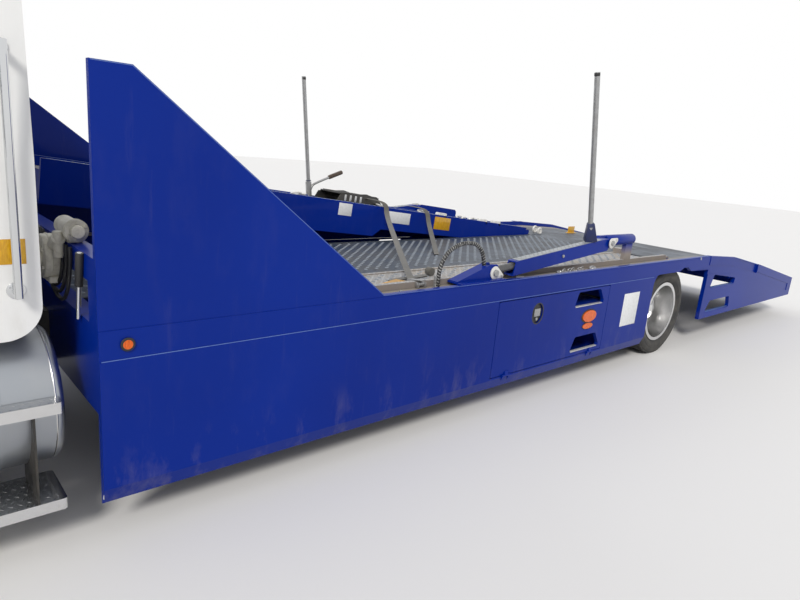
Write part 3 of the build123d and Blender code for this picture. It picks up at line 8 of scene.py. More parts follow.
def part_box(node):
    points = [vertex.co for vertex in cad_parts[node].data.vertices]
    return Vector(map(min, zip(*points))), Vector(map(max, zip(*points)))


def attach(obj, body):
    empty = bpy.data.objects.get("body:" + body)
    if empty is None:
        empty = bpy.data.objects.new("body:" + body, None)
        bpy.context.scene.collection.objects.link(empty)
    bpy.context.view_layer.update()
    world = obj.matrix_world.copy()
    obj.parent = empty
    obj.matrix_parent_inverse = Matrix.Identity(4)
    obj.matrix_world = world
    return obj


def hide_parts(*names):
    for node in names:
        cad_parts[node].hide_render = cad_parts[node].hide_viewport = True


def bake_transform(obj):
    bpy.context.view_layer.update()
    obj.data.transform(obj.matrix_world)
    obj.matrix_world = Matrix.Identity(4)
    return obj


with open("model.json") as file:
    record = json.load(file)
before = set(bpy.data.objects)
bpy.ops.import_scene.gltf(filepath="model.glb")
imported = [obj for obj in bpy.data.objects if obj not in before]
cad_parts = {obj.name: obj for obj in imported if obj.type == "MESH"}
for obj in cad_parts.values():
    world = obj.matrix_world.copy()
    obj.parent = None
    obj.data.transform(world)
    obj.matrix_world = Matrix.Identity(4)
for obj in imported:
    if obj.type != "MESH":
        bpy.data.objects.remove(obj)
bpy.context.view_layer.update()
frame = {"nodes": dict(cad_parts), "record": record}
nodes = frame["nodes"]
print("stage: frame loaded,", len(nodes), "nodes")


# Shader maths: a wrapped socket that takes part in sums, and the trees that make its nodes

class Wire:
    def __init__(self, tree, socket):
        self.tree = tree
        self.socket = socket

    def maths(self, operation, other, flipped=False):
        pair = (other, self) if flipped else (self, other)
        return self.tree.add("Math", {"operation": operation}, pair)

    def __add__(self, other):
        return self.maths("ADD", other)

    def __radd__(self, other):
        return self.maths("ADD", other, True)

    def __sub__(self, other):
        return self.maths("SUBTRACT", other)

    def __rsub__(self, other):
        return self.maths("SUBTRACT", other, True)

    def __mul__(self, other):
        return self.maths("MULTIPLY", other)

    def __rmul__(self, other):
        return self.maths("MULTIPLY", other, True)

    def __truediv__(self, other):
        return self.maths("DIVIDE", other)

    def __gt__(self, other):
        return self.maths("GREATER_THAN", other)

    def __lt__(self, other):
        return self.maths("LESS_THAN", other)


class Tree:
    def __init__(self, tree):
        self.tree = tree
        tree.nodes.clear()

    def add(self, kind, settings=None, values=(), out=0):
        node = self.tree.nodes.new("ShaderNode" + kind)
        for name, value in (settings or {}).items():
            setattr(node, name, value)
        pairs = values.items() if isinstance(values, dict) else enumerate(values)
        for name, value in pairs:
            if isinstance(value, Wire):
                self.tree.links.new(value.socket, node.inputs[name])
            else:
                node.inputs[name].default_value = value
        return Wire(self, node.outputs[out])

    def largest(self, first, second):
        return self.add("Math", {"operation": "MAXIMUM"}, (first, second))

    def show(self, kind, shader):
        output = self.tree.nodes.new("ShaderNodeOutput" + kind)
        self.tree.links.new(shader.socket, output.inputs["Surface"])


class Surface(Tree):
    def __init__(self, name, **settings):
        self.material = bpy.data.materials.new(name)
        self.material.use_nodes = True
        super().__init__(self.material.node_tree)
        self.shader = self.tree.nodes.new("ShaderNodeBsdfPrincipled")
        self.show("Material", Wire(self, self.shader.outputs[0]))
        self.place = self.add("TexCoord", out="Object")
        for socket, value in settings.items():
            self.feed(socket, value)

    def feed(self, name, value):
        socket = self.shader.inputs[name.replace("_", " ")]
        if isinstance(value, Wire):
            self.tree.links.new(value.socket, socket)
        else:
            socket.default_value = value

    def noise(self, scale, detail=3.0, roughness=0.55, stretch=None):
        place = self.place
        if stretch:
            place = self.add("Mapping", {}, {"Vector": place, "Scale": stretch})
        settings = {"Vector": place, "Scale": scale, "Detail": detail, "Roughness": roughness}
        return self.add("TexNoise", {}, settings)

    def spread(self, value, low, high, first=0.0, last=1.0):
        limits = {"Value": value, "From Min": low, "From Max": high, "To Min": first, "To Max": last}
        return self.add("MapRange", {"clamp": True}, limits)

    def mix(self, share, first, second):
        return self.add("Mix", {"data_type": "RGBA"}, {0: share, 6: first, 7: second}, out=2)

    def tint(self, share, first, second):
        self.feed("Base Color", self.mix(share, first, second))

    def gloss(self, value, *limits):
        self.feed("Roughness", self.spread(value, *limits))

    def along(self, axis):
        return self.add("SeparateXYZ", {}, (self.place,), out=axis)

    def height(self):
        return self.along("Z")

    def facingUp(self, limit=0.85):
        # One where the surface looks up
        normal = self.add("NewGeometry", out="Normal")
        return self.add("SeparateXYZ", {}, (normal,), out="Z") > limit

    def repeat(self, value, length):
        # Runs from -0.5 to 0.5 once in each length
        return self.add("Math", {"operation": "FRACT"}, (value / length,)) - 0.5

    def size(self, value):
        return self.add("Math", {"operation": "ABSOLUTE"}, (value,))

    def lozenges(self, length, width, share=0.30):
        # Small raised bars that lean one way and the other in turn, as on tread plate
        across, onward = self.along("Y"), self.along("X")
        rows = []
        for lean, shift in ((1.0, 0.0), (-1.0, 0.5)):
            u = self.repeat(onward + across * lean + shift * length, length)
            v = self.repeat(across - onward * lean * 0.25 + shift * width, width)
            rows.append((self.size(u) < share * 0.5) * (self.size(v) < share))
        return self.largest(*rows)

    def holes(self, start, cell, radius):
        # Round holes on a grid with a second row between
        onward, across = self.along("X") - start[0], self.along("Y") - start[1]
        rows = []
        for shift in (0.0, 0.5):
            u = self.repeat(onward + (0.5 - shift) * cell[0], cell[0]) * cell[0]
            v = self.repeat(across + (0.5 - shift) * cell[1], cell[1]) * cell[1]
            rows.append((u * u + v * v) < radius * radius)
        return self.largest(*rows)

    def bump(self, value, strength=0.2, distance=0.002):
        settings = {"Strength": strength, "Distance": distance, "Height": value}
        self.feed("Normal", self.add("Bump", {}, settings))


def colour(red, green, blue):
    return (red, green, blue, 1.0)


# Materials

paint = {
    "blue": colour(0.0006, 0.021, 0.25),
    "blueDeep": colour(0.0005, 0.016, 0.205),
    "white": colour(0.80, 0.80, 0.785),
    "whiteAged": colour(0.70, 0.695, 0.67),
    "dust": colour(0.34, 0.29, 0.22),
}
punched = {"cell": (0.10, 0.09), "start": (-2.46, -0.4725), "radius": 0.0085}


def bluePaint(name="bodyBlue", floor=None, edge=None):
    surface = Surface(name, Roughness=0.34, Specular_IOR_Level=0.08, Coat_Weight=0.11, Coat_Roughness=0.05)
    drift = surface.noise(0.7, 2.0)
    tone = surface.mix(surface.spread(drift, 0.35, 0.7), paint["blue"], paint["blueDeep"])
    grime = surface.noise(9.0, 6.0, 0.65, (1.0, 1.0, 0.35))
    low = surface.spread(surface.height(), 0.50, 0.18)
    streaks = surface.spread(surface.noise(3.2, 5.0, 0.7, (6.0, 6.0, 0.5)), 0.60, 0.85)
    dusty = surface.spread(grime, 0.52, 0.80) * (low * 0.26 + 0.02) + streaks * 0.05
    painted = surface.mix(dusty, tone, paint["dust"])
    if floor is None:
        surface.feed("Base Color", painted)
        surface.gloss(dusty, 0.0, 0.3, 0.30, 0.6)
        surface.bump(surface.noise(210.0, 2.0), 0.04, 0.0006)
        return surface.material
    # The floor of a runway: worn tread plate under dust, blue kept in its corners
    up = surface.facingUp() * (surface.height() < floor)
    marks = surface.lozenges(0.052, 0.030)
    wear = surface.spread(surface.noise(5.0, 5.0, 0.65), 0.35, 0.7)
    steel = surface.mix(wear, colour(0.30, 0.31, 0.33), colour(0.33, 0.27, 0.20))
    steel = surface.mix(marks * 0.55, steel, colour(0.55, 0.56, 0.57))
    if edge:
        ledge = surface.spread(surface.height(), edge, edge - 0.09)
        painted = surface.mix(ledge * (grime * 0.3 + 0.75), painted, colour(0.29, 0.25, 0.20))
    surface.tint(up, painted, steel)
    surface.feed("Roughness", surface.mix(up, colour(0.32, 0.32, 0.32), colour(0.55, 0.55, 0.55)))
    surface.bump(marks * up, 0.5, 0.003)
    return surface.material


def whitePaint():
    surface = Surface("cabWhite", Roughness=0.3, Coat_Weight=0.7, Coat_Roughness=0.05)
    drift = surface.noise(1.3, 3.0)
    grime = surface.noise(7.0, 5.0, 0.65, (1.0, 1.0, 0.3))
    low = surface.spread(surface.height(), 1.35, 0.75)
    dusty = surface.spread(grime, 0.5, 0.8) * (low * 0.4 + 0.03)
    tone = surface.mix(surface.spread(drift, 0.4, 0.75) * 0.4, paint["white"], paint["whiteAged"])
    surface.tint(dusty, tone, paint["dust"])
    surface.bump(surface.noise(190.0, 2.0), 0.04, 0.0006)
    return surface.material


def polishedAluminium(name="polishedAluminium", tone=colour(0.70, 0.70, 0.70), rough=(0.17, 0.25)):
    surface = Surface(name, Metallic=1.0)
    marks = surface.noise(7.0, 4.0, 0.6)
    lines = surface.noise(1.0, 3.0, 0.6, (420.0, 6.0, 6.0))
    wearAndHighlight = surface.spread(marks, 0.45, 0.8) * 0.22
    surface.tint(wearAndHighlight, tone, colour(0.45, 0.435, 0.41))
    fine = surface.spread(lines, 0.3, 0.7) * 0.06
    surface.feed("Roughness", surface.spread(marks, 0.3, 0.8, *rough) + fine)
    surface.bump(lines, 0.03, 0.0005)
    return surface.material


def deckSteel():
    # Punched plate: dark blue-grey between its holes, which are painted near black as painted shade, dusty
    # toward the ledges
    surface = Surface("deckSteel", Metallic=0.1, Roughness=0.5, Specular_IOR_Level=0.2)
    spangle = surface.noise(34.0, 6.0, 0.7)
    wear = surface.spread(surface.noise(2.6, 5.0, 0.65), 0.40, 0.72)
    side = surface.spread(surface.size(surface.along("Y")), 1.0, 1.16)
    flecks = surface.spread(spangle, 0.35, 0.7)
    base = surface.mix(flecks, colour(0.030, 0.045, 0.070), colour(0.062, 0.082, 0.115))
    base = surface.mix(wear * 0.45, base, colour(0.17, 0.15, 0.125))
    base = surface.mix(side * 0.8, base, colour(0.36, 0.32, 0.265))
    up = surface.facingUp() * (surface.size(surface.along("Y")) < 0.56)
    # Holes painted near black on the solid plate: painted shade seen through them
    holeShade = surface.holes(punched["start"], punched["cell"], punched["radius"]) * up
    surface.tint(holeShade, base, colour(0.008, 0.008, 0.009))
    surface.gloss(wear, 0.0, 1.0, 0.38, 0.68)
    surface.bump(spangle, 0.12, 0.001)
    return surface.material


def hazed(name, haze, rough, **settings):
    # Glass or chrome, with a gloss that varies a little
    surface = Surface(name, **settings)
    surface.gloss(surface.noise(*haze), *rough)
    return surface.material


def lampLens():
    surface = Surface("lampLens", Base_Color=colour(0.62, 0.65, 0.67), Roughness=0.06, Alpha=0.5,
                      Coat_Weight=1.0, Coat_Roughness=0.03)
    surface.bump(surface.noise(1.0, 1.0, 0.5, (1.0, 130.0, 1.0)), 0.25, 0.002)
    return surface.material


def webbing(name, base, deep):
    # Woven strap: fine ribs across and dust in the weave
    surface = Surface(name, Roughness=0.85, Sheen_Weight=0.3)
    ribs = surface.noise(1.0, 1.0, 0.5, (260.0, 40.0, 260.0))
    dirt = surface.spread(surface.noise(9.0, 5.0, 0.7), 0.40, 0.75)
    tone = surface.mix(surface.spread(ribs, 0.3, 0.7) * 0.5, colour(*base), colour(*deep))
    surface.tint(dirt * 0.45, tone, colour(0.16, 0.14, 0.11))
    surface.bump(ribs, 0.4, 0.001)
    return surface.material


def hoseWrap():
    # Black hose with a spiral wrap whose bars, set round the middle of its arc, are painted light grey as a
    # painted highlight on its ridges
    surface = Surface("hoseWrap", Roughness=0.5)
    rise, ahead = surface.height() - 1.06, surface.along("X") - 0.67
    turn = surface.add("Math", {"operation": "ARCTAN2"}, (rise, ahead)) + surface.along("Y") * 2.5
    bars = surface.size(surface.repeat(turn, 0.085)) < 0.16
    wearAndHighlight = surface.spread(surface.noise(60.0, 3.0), 0.35, 0.6)
    surface.tint(bars * wearAndHighlight, colour(0.012, 0.012, 0.013), colour(0.36, 0.36, 0.35))
    surface.bump(bars, 0.4, 0.003)
    return surface.material


def twoTone(name, first, second, noise, relief, limits=(0.42, 0.75), share=0.7, rough=None, grain=None,
            **settings):
    # Patches of one tone on another. Roughness goes with them, and relief too unless it has its own grain
    surface = Surface(name, **settings)
    patches = surface.noise(*noise)
    if limits:
        patches = surface.spread(patches, *limits)
    surface.tint(patches * share, colour(*first), colour(*second))
    if rough:
        surface.gloss(patches, 0.0, 1.0, *rough)
    surface.bump(surface.noise(*grain) if grain else patches, *relief)
    return surface.material


def plainMetal(name, first, second, metallic=0.6, rough=(0.28, 0.55), scale=22.0):
    return twoTone(name, first, second, (scale, 5.0, 0.7), (0.08, 0.001), rough=rough, Metallic=metallic)


def lampPlastic(name, base, deep):
    return twoTone(name, base, deep, (1.0, 1.0, 0.5, (170.0, 170.0, 40.0)), (0.3, 0.001), (0.35, 0.65), 0.6,
                   Roughness=0.15, Specular_IOR_Level=0.3, Coat_Weight=0.4, Coat_Roughness=0.04)


finishes = {
    "body_blue": bluePaint(),
    "cab_white": whitePaint(),
    "chassis_black": twoTone("chassisBlack", (0.012, 0.012, 0.013), (0.11, 0.095, 0.075), (6.0, 6.0, 0.7),
                             (0.12, 0.001), share=0.5, rough=(0.38, 0.85), grain=(60.0, 4.0)),
    "polished_aluminium": polishedAluminium(),
    "bright_chrome": hazed("brightChrome", (14.0, 4.0), (0.4, 0.8, 0.08, 0.18), Metallic=1.0,
                           Base_Color=colour(0.64, 0.65, 0.66)),
    "tyre_rubber": twoTone("tyreRubber", (0.022, 0.022, 0.023), (0.125, 0.115, 0.10), (11.0, 6.0, 0.7),
                           (0.25, 0.0012), (0.4, 0.72), 0.6, (0.68, 0.92), (140.0, 4.0)),
    "window_glass": hazed("windowGlass", (5.0, 4.0), (0.45, 0.8, 0.03, 0.12), Alpha=0.72,
                          Base_Color=colour(0.045, 0.06, 0.062), Coat_Weight=1.0, Coat_Roughness=0.02),
    "lamp_lens": lampLens(),
    "deck_steel": deckSteel(),
    "strut_grey": plainMetal("strutGrey", (0.36, 0.365, 0.37), (0.22, 0.21, 0.20)),
    "amber_lens": lampPlastic("amberLens", (0.78, 0.13, 0.003), (0.42, 0.05, 0.001)),
    "red_lens": lampPlastic("redLens", (0.55, 0.008, 0.006), (0.25, 0.002, 0.002)),
    "seat_fabric": twoTone("seatFabric", (0.035, 0.036, 0.04), (0.09, 0.09, 0.095), (330.0, 2.0),
                           (0.4, 0.001), None, 1.0, Roughness=0.9, Sheen_Weight=0.4),
    "black_plastic": twoTone("blackPlastic", (0.014, 0.014, 0.015), (0.045, 0.044, 0.043), (4.0, 4.0),
                             (0.2, 0.0008), (0.4, 0.75), 0.6, grain=(240.0, 3.0), Roughness=0.5),
    "engine_iron": twoTone("engineIron", (0.05, 0.05, 0.05), (0.13, 0.12, 0.11), (70.0, 5.0, 0.7),
                           (0.4, 0.002), None, 1.0, Roughness=0.7, Metallic=0.3),
    "winch_cream": twoTone("winchCream", (0.70, 0.67, 0.56), (0.34, 0.30, 0.22), (30.0, 6.0, 0.7),
                           (0.15, 0.001), (0.45, 0.72), 0.6, Roughness=0.42, Coat_Weight=0.25,
                           Coat_Roughness=0.2),
}
punchedSteel = plainMetal("punchedSteel", (0.36, 0.385, 0.41), (0.22, 0.215, 0.20), 0.2, (0.4, 0.6))
floorBurr = plainMetal("floorBurr", (0.25, 0.28, 0.32), (0.14, 0.145, 0.15), 0.1, (0.45, 0.65))
keeperWhite = plainMetal("keeperWhite", (0.72, 0.71, 0.68), (0.38, 0.34, 0.28), 0.1, (0.35, 0.6))
# Pale steel for thin edges and strips; on the slot sills it is a painted highlight
paleEdge = plainMetal("paleEdge", (0.62, 0.63, 0.64), (0.40, 0.38, 0.35), 0.3, (0.35, 0.6))
# Lighter blue for thin lines along edges and ledges: a painted highlight
highlightBlue = plainMetal("highlightBlue", (0.10, 0.17, 0.42), (0.05, 0.10, 0.33), 0.1, (0.3, 0.5))
darkBlue = plainMetal("darkBlue", (0.004, 0.012, 0.075), (0.02, 0.022, 0.04), 0.1, (0.35, 0.6))
barrelDark = plainMetal("barrelDark", (0.10, 0.10, 0.105), (0.05, 0.05, 0.05), 0.5, (0.3, 0.5))
plateWhite = plainMetal("plateWhite", (0.74, 0.75, 0.76), (0.60, 0.60, 0.58), 0.0, (0.4, 0.6), 40.0)
mirrorGlass = plainMetal("mirrorGlass", (0.72, 0.74, 0.76), (0.66, 0.68, 0.70), 1.0, (0.02, 0.05))
reflectorYellow = lampPlastic("reflectorYellow", (0.66, 0.36, 0.012), (0.46, 0.22, 0.006))
strapYellow = webbing("strapYellow", (0.66, 0.33, 0.012), (0.42, 0.19, 0.008))
webbingGrey = webbing("webbingGrey", (0.088, 0.084, 0.074), (0.045, 0.043, 0.038))
gripBrown = webbing("gripBrown", (0.07, 0.045, 0.03), (0.035, 0.022, 0.016))

nodeFinishes = {
    "runway_left": bluePaint("runwayBlueLeft", 1.06, 1.16),
    "runway_right": bluePaint("runwayBlueRight", 1.60),
    "fuel_tanks": polishedAluminium("brushedTank", colour(0.36, 0.38, 0.41), (0.30, 0.42)),
    "lift_barrel_left": barrelDark,
    "lift_barrel_right": barrelDark,
    "lift_hoses": hoseWrap(),
}
for part in frame["record"]["subparts"]:
    node = nodes[part["node"]]
    finish = nodeFinishes.get(part["node"], finishes[part["material_slot"]])
    for place in node.material_slots:
        place.material = finish
    if not node.material_slots:
        node.data.materials.append(finish)
print("stage: materials")


# Modelling helpers. Each one leaves a mesh at the origin, in metres.

sides = (("Left", 1, "left"), ("Right", -1, "right"))
origin = unturned = (0.0, 0.0, 0.0)
facesX, facesY = (0.0, math.pi / 2, 0.0), (math.pi / 2, 0.0, 0.0)


def choose(*pieces):
    bpy.ops.object.select_all(action="DESELECT")
    for piece in pieces:
        piece.select_set(True)
    bpy.context.view_layer.objects.active = pieces[0]


def applyPlace(piece):
    choose(piece)
    bpy.ops.object.transform_apply(location=True, rotation=True, scale=True)
    return piece


def applyModifier(piece, kind, **settings):
    choose(piece)
    modifier = piece.modifiers.new(kind.title(), kind)
    for name, value in settings.items():
        setattr(modifier, name, value)
    bpy.ops.object.modifier_apply(modifier=modifier.name)
    return piece


def softened(piece, bevel, segments=2):
    if bevel:
        applyModifier(piece, "BEVEL", width=bevel, segments=segments, limit_method="ANGLE")
    return piece


def edited(piece, *steps):
    # Edit mode operators on the whole mesh, each with its settings
    choose(piece)
    bpy.ops.object.mode_set(mode="EDIT")
    bpy.ops.mesh.select_all(action="SELECT")
    for operator, settings in steps:
        operator(**settings)
    bpy.ops.object.mode_set(mode="OBJECT")
    return piece


def closed(piece, reach=0.00002):
    # Doubles merged and every face turned outward
    return edited(piece, (bpy.ops.mesh.remove_doubles, {"threshold": reach}),
                  (bpy.ops.mesh.normals_make_consistent, {"inside": False}))


def block(centre, size, bevel=0.0, turn=unturned):
    bpy.ops.mesh.primitive_cube_add(size=1.0, location=centre, rotation=turn)
    piece = bpy.context.object
    piece.scale = size
    return softened(applyPlace(piece), bevel)


def rod(start, end, radius, edges=24, bevel=0.0):
    first, last = Vector(start), Vector(end)
    run = last - first
    turn = run.to_track_quat("Z", "Y").to_euler()
    bpy.ops.mesh.primitive_cylinder_add(vertices=edges, radius=radius, depth=run.length,
                                        location=(first + last) / 2, rotation=turn)
    return softened(applyPlace(bpy.context.object), bevel)


def peg(place, out, radius, edges=24, bevel=0.0, axis=1):
    # A rod that stands out from its place along one axis
    end = list(place)
    end[axis] += out
    return rod(place, end, radius, edges, bevel)


def dome(centre, size, segments=24):
    bpy.ops.mesh.primitive_uv_sphere_add(segments=segments, ring_count=segments // 2, radius=1.0,
                                         location=centre)
    piece = bpy.context.object
    piece.scale = size
    return applyPlace(piece)


def ring(centre, major, minor, turn=facesY, edges=40, around=10, size=(1.0, 1.0, 1.0)):
    # Size stretches it in its own plane before it is turned
    bpy.ops.mesh.primitive_torus_add(major_radius=major, minor_radius=minor, major_segments=edges,
                                     minor_segments=around, location=centre, rotation=turn)
    piece = bpy.context.object
    piece.scale = size
    return applyPlace(piece)


def splineOf(points, kind="POLY", isClosed=False, isFlat=False):
    curve = bpy.data.curves.new("line", "CURVE")
    curve.dimensions = "2D" if isFlat else "3D"
    spline = curve.splines.new(kind)
    spline.points.add(len(points) - 1)
    for point, place in zip(spline.points, points):
        point.co = (*place, 0.0, 1.0) if len(place) == 2 else (*place, 1.0)
    spline.use_cyclic_u = isClosed
    if kind == "NURBS":
        spline.order_u = 3
        spline.use_endpoint_u = True
    piece = bpy.data.objects.new("line", curve)
    bpy.context.scene.collection.objects.link(piece)
    return piece


def toMesh(piece):
    choose(piece)
    bpy.ops.object.convert(target="MESH")
    return applyPlace(bpy.context.object)


def sideplate(points, near, far, bevel=0.0):
    # An outline in X and Z with its thickness between two Y values
    piece = splineOf(points, isClosed=True, isFlat=True)
    piece.data.fill_mode = "BOTH"
    piece.data.extrude = abs(far - near) / 2
    piece.rotation_euler = facesY
    piece.location = (0.0, (near + far) / 2, 0.0)
    return softened(closed(toMesh(piece)), bevel)


def tube(points, radius, resolution=4, isClosed=False, kind="POLY"):
    piece = splineOf(points, kind, isClosed)
    piece.data.bevel_depth = radius
    piece.data.bevel_resolution = resolution
    piece.data.use_fill_caps = not isClosed
    return closed(toMesh(piece))


def hose(points, radius, resolution=4):
    # A smooth line through its control points
    return tube(points, radius, resolution, kind="NURBS")


def spunRing(profile, centre, steps=96):
    # A closed section of offsets along Y and radii, spun round the Y axis through its centre
    points = [(centre[0], centre[1] + along, centre[2] + radius) for along, radius in profile]
    spin = {"steps": steps, "angle": 2 * math.pi, "center": centre, "axis": (0.0, 1.0, 0.0)}
    return closed(edited(toMesh(splineOf(points, isClosed=True)), (bpy.ops.mesh.spin, spin)), 0.00005)


def copiedRound(piece, count, centre, axis=(0.0, 1.0, 0.0)):
    angle = 2 * math.pi * (count - 1) / count
    spin = {"steps": count - 1, "dupli": True, "angle": angle, "center": centre, "axis": axis}
    return edited(piece, (bpy.ops.mesh.spin, spin))


def row(piece, count, step):
    return applyModifier(piece, "ARRAY", count=count, use_relative_offset=False, use_constant_offset=True,
                         constant_offset_displace=step)


def joined(*pieces):
    choose(*pieces)
    if len(pieces) > 1:
        bpy.ops.object.join()
    return bpy.context.object


def dress(piece, name, body, slot, material=None, angle=35):
    # One piece, or a list of pieces that are joined into one
    if isinstance(piece, list):
        piece = joined(*piece)
    piece.name = name
    piece.data.name = name
    piece.data.materials.clear()
    piece.data.materials.append(material or finishes[slot])
    choose(piece)
    bpy.ops.object.shade_smooth_by_angle(angle=math.radians(angle))
    if body:
        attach(piece, body)
    return piece


# Tyres with a grooved tread and sidewall rings, in place of the plain ones

tyre = {
    "section": [(0.066, 0.2855), (0.084, 0.308), (0.101, 0.321), (0.1125, 0.343), (0.1145, 0.349),
                (0.1165, 0.351), (0.119, 0.372), (0.1187, 0.381), (0.1155, 0.386), (0.1165, 0.398),
                (0.111, 0.414), (0.1035, 0.427), (0.094, 0.4335)],
    "blockRows": [-0.0785, -0.0395, 0.0, 0.0395, 0.0785],
    "blockSize": (0.031, 0.033, 0.0125),
    "blockTop": 0.4443,
    "blocks": 70,
}
wheels = {
    "rear": {"x": -2.42, "tyres": [0.799, 1.115], "words": "Tyres", "body": "rear_wheels_", "face": 0.973,
             "circle": 0.143, "nut": 0.017, "stud": 0.032, "hubFace": 1.077, "hubRadius": 0.12},
    "front": {"x": 5.4, "tyres": [1.04], "words": "Tyre", "body": "front_wheel_", "face": 1.128,
              "circle": 0.128, "nut": 0.0145, "stud": 0.03, "hubFace": 1.17, "hubRadius": 0.11},
}
axleHeight = 0.445


def buildTyre(x, y):
    centre = (x, y, axleHeight)
    section = tyre["section"] + [(-along, radius) for along, radius in reversed(tyre["section"])]
    carcass = spunRing(section, centre)
    height = axleHeight + tyre["blockTop"] - tyre["blockSize"][2] / 2
    blocks = [block((x, y + offset, height), tyre["blockSize"]) for offset in tyre["blockRows"]]
    return joined(carcass, copiedRound(joined(*blocks), tyre["blocks"], centre))


for title, side, name in sides:
    for axle, wheel in wheels.items():
        tyres = joined(*[buildTyre(wheel["x"], side * y) for y in wheel["tyres"]])
        dress(tyres, axle + wheel["words"] + title, wheel["body"] + name, "tyre_rubber")
        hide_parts(axle + "_" + wheel["words"].lower() + "_" + name)
print("stage: tyres")


# Wheel nuts with their studs and washers, hub covers with a cap and bolts

for title, side, name in sides:
    for axle, wheel in wheels.items():
        x, body, circle = wheel["x"], wheel["body"] + name, axleHeight + wheel["circle"]
        face = side * wheel["face"]
        nut = peg((x, face, circle), side * wheel["stud"] * 0.6, wheel["nut"], 6, 0.0015)
        stud = peg((x, face, circle), side * wheel["stud"], wheel["nut"] * 0.55, 10, 0.001)
        washer = peg((x, face, circle), side * 0.004, wheel["nut"] * 1.2, 16)
        nuts = copiedRound(joined(nut, stud, washer), 10, (x, face, axleHeight))
        dress(nuts, axle + "Nuts" + title, body, "bright_chrome")

        face = side * wheel["hubFace"]
        cover = rod((x, face - side * 0.004, axleHeight), (x, face + side * 0.006, axleHeight),
                    wheel["hubRadius"] * 0.97, 48, 0.004)
        cap = peg((x, face, axleHeight), side * 0.034, 0.052, 36, 0.008)
        bolt = peg((x, face, axleHeight + wheel["hubRadius"] * 0.78), side * 0.014, 0.009, 6, 0.001)
        bolts = copiedRound(bolt, 8, (x, face, axleHeight))
        dress([cover, cap, bolts], axle + "HubCover" + title, body, "polished_aluminium")
print("stage: wheel nuts and hubs")


# Punched floors: raised burrs round the holes of the centre floor and the runways

burr = {"major": 0.0115, "minor": 0.0034, "edges": 9, "around": 4}
floors = {
    "centre": {"start": (*punched["start"], 0.9505), "cell": punched["cell"], "count": (53, 11)},
    "runway": {"start": (-2.34, 0.68, 0.9505), "cell": (0.125, 0.09), "count": (40, 5)},
}
runwayTilt = {"left": 0.0, "right": 6.0}
hinge = (-2.47, 0.0, 0.975)


def punchedRim(place, scale=1.0):
    major, minor = burr["major"] * scale, burr["minor"] * scale
    return ring(place, major, minor, unturned, burr["edges"], burr["around"])


def punchedField(field, mirror=1):
    x, y, z = field["start"]
    cellX, cellY = field["cell"]
    first = punchedRim((x, mirror * y, z))
    second = punchedRim((x + cellX / 2, mirror * (y + cellY / 2), z))
    piece = row(joined(first, second), field["count"][0], (cellX, 0.0, 0.0))
    return row(piece, field["count"][1], (0.0, mirror * cellY, 0.0))


def turnedUp(piece, degrees=runwayTilt["right"]):
    # Turned about the runways' hinge line
    if degrees:
        turn = Matrix.Translation(hinge) @ Matrix.Rotation(-math.radians(degrees), 4, "Y")
        piece.matrix_world = turn @ Matrix.Translation([-part for part in hinge])
        applyPlace(piece)
    return piece


dress(punchedField(floors["centre"]), "centreFloorRims", "chassis", "deck_steel", floorBurr)
for title, side, name in sides:
    field = turnedUp(punchedField(floors["runway"], side), runwayTilt[name])
    dress(field, "runwayRims" + title, "runway_" + name, "deck_steel", floorBurr)
print("stage: punched floors")


# Lift struts: punched top plates, pin keepers, pin heads and the round bar of the left arm

strut = {
    "y": 1.2, "outer": 1.24, "top": 0.0412,
    "pin": (0.37, 1.05),
    "arm": {"left": (-1.127, 1.206), "right": (-1.1422, 1.1900)},
    "plateStart": 0.28, "plateLength": 1.10, "plateHalf": 0.033,
    "holeRows": [(-0.021, 0.0), (0.0, 0.5), (0.021, 0.0)],
    "holePitch": 0.05, "holes": 21, "holeScale": 0.46, "holeRadius": 0.0062,
    "front": {"outline": (0.047, 0.075, 200), "faces": (0.002, 0.010), "stands": 0.026, "head": 0.024,
              "bolt": (0.30, 1.024), "boltStands": 0.017, "boltRadius": 0.009, "boltBevel": 0.0},
    "rear": {"outline": (0.045, 0.072, 160), "faces": (0.0145, 0.0215), "stands": 0.034, "head": 0.022,
             "bolt": (-0.44, 1.127), "boltStands": 0.012, "boltRadius": 0.013, "boltBevel": 0.002},
}


def teardrop(x, z, radius, tip, lean):
    # A round end that tapers to a smaller one ahead of it
    points = []
    for index in range(13):
        turn = math.pi / 2 + math.pi * index / 12
        points.append((math.cos(turn) * radius, math.sin(turn) * radius))
    for index in range(9):
        turn = -math.pi / 2 + math.pi * index / 8
        points.append((tip + math.cos(turn) * radius * 0.42, math.sin(turn) * radius * 0.42))
    cosine, sine = math.cos(math.radians(lean)), math.sin(math.radians(lean))
    return [(x + ahead * cosine - up * sine, z + ahead * sine + up * cosine) for ahead, up in points]


def leaning(piece, start, lean):
    # Set down at a place on the strut and leaned with it
    piece.matrix_world = Matrix.Translation(start) @ Matrix.Rotation(-lean, 4, "Y")
    return applyPlace(piece)


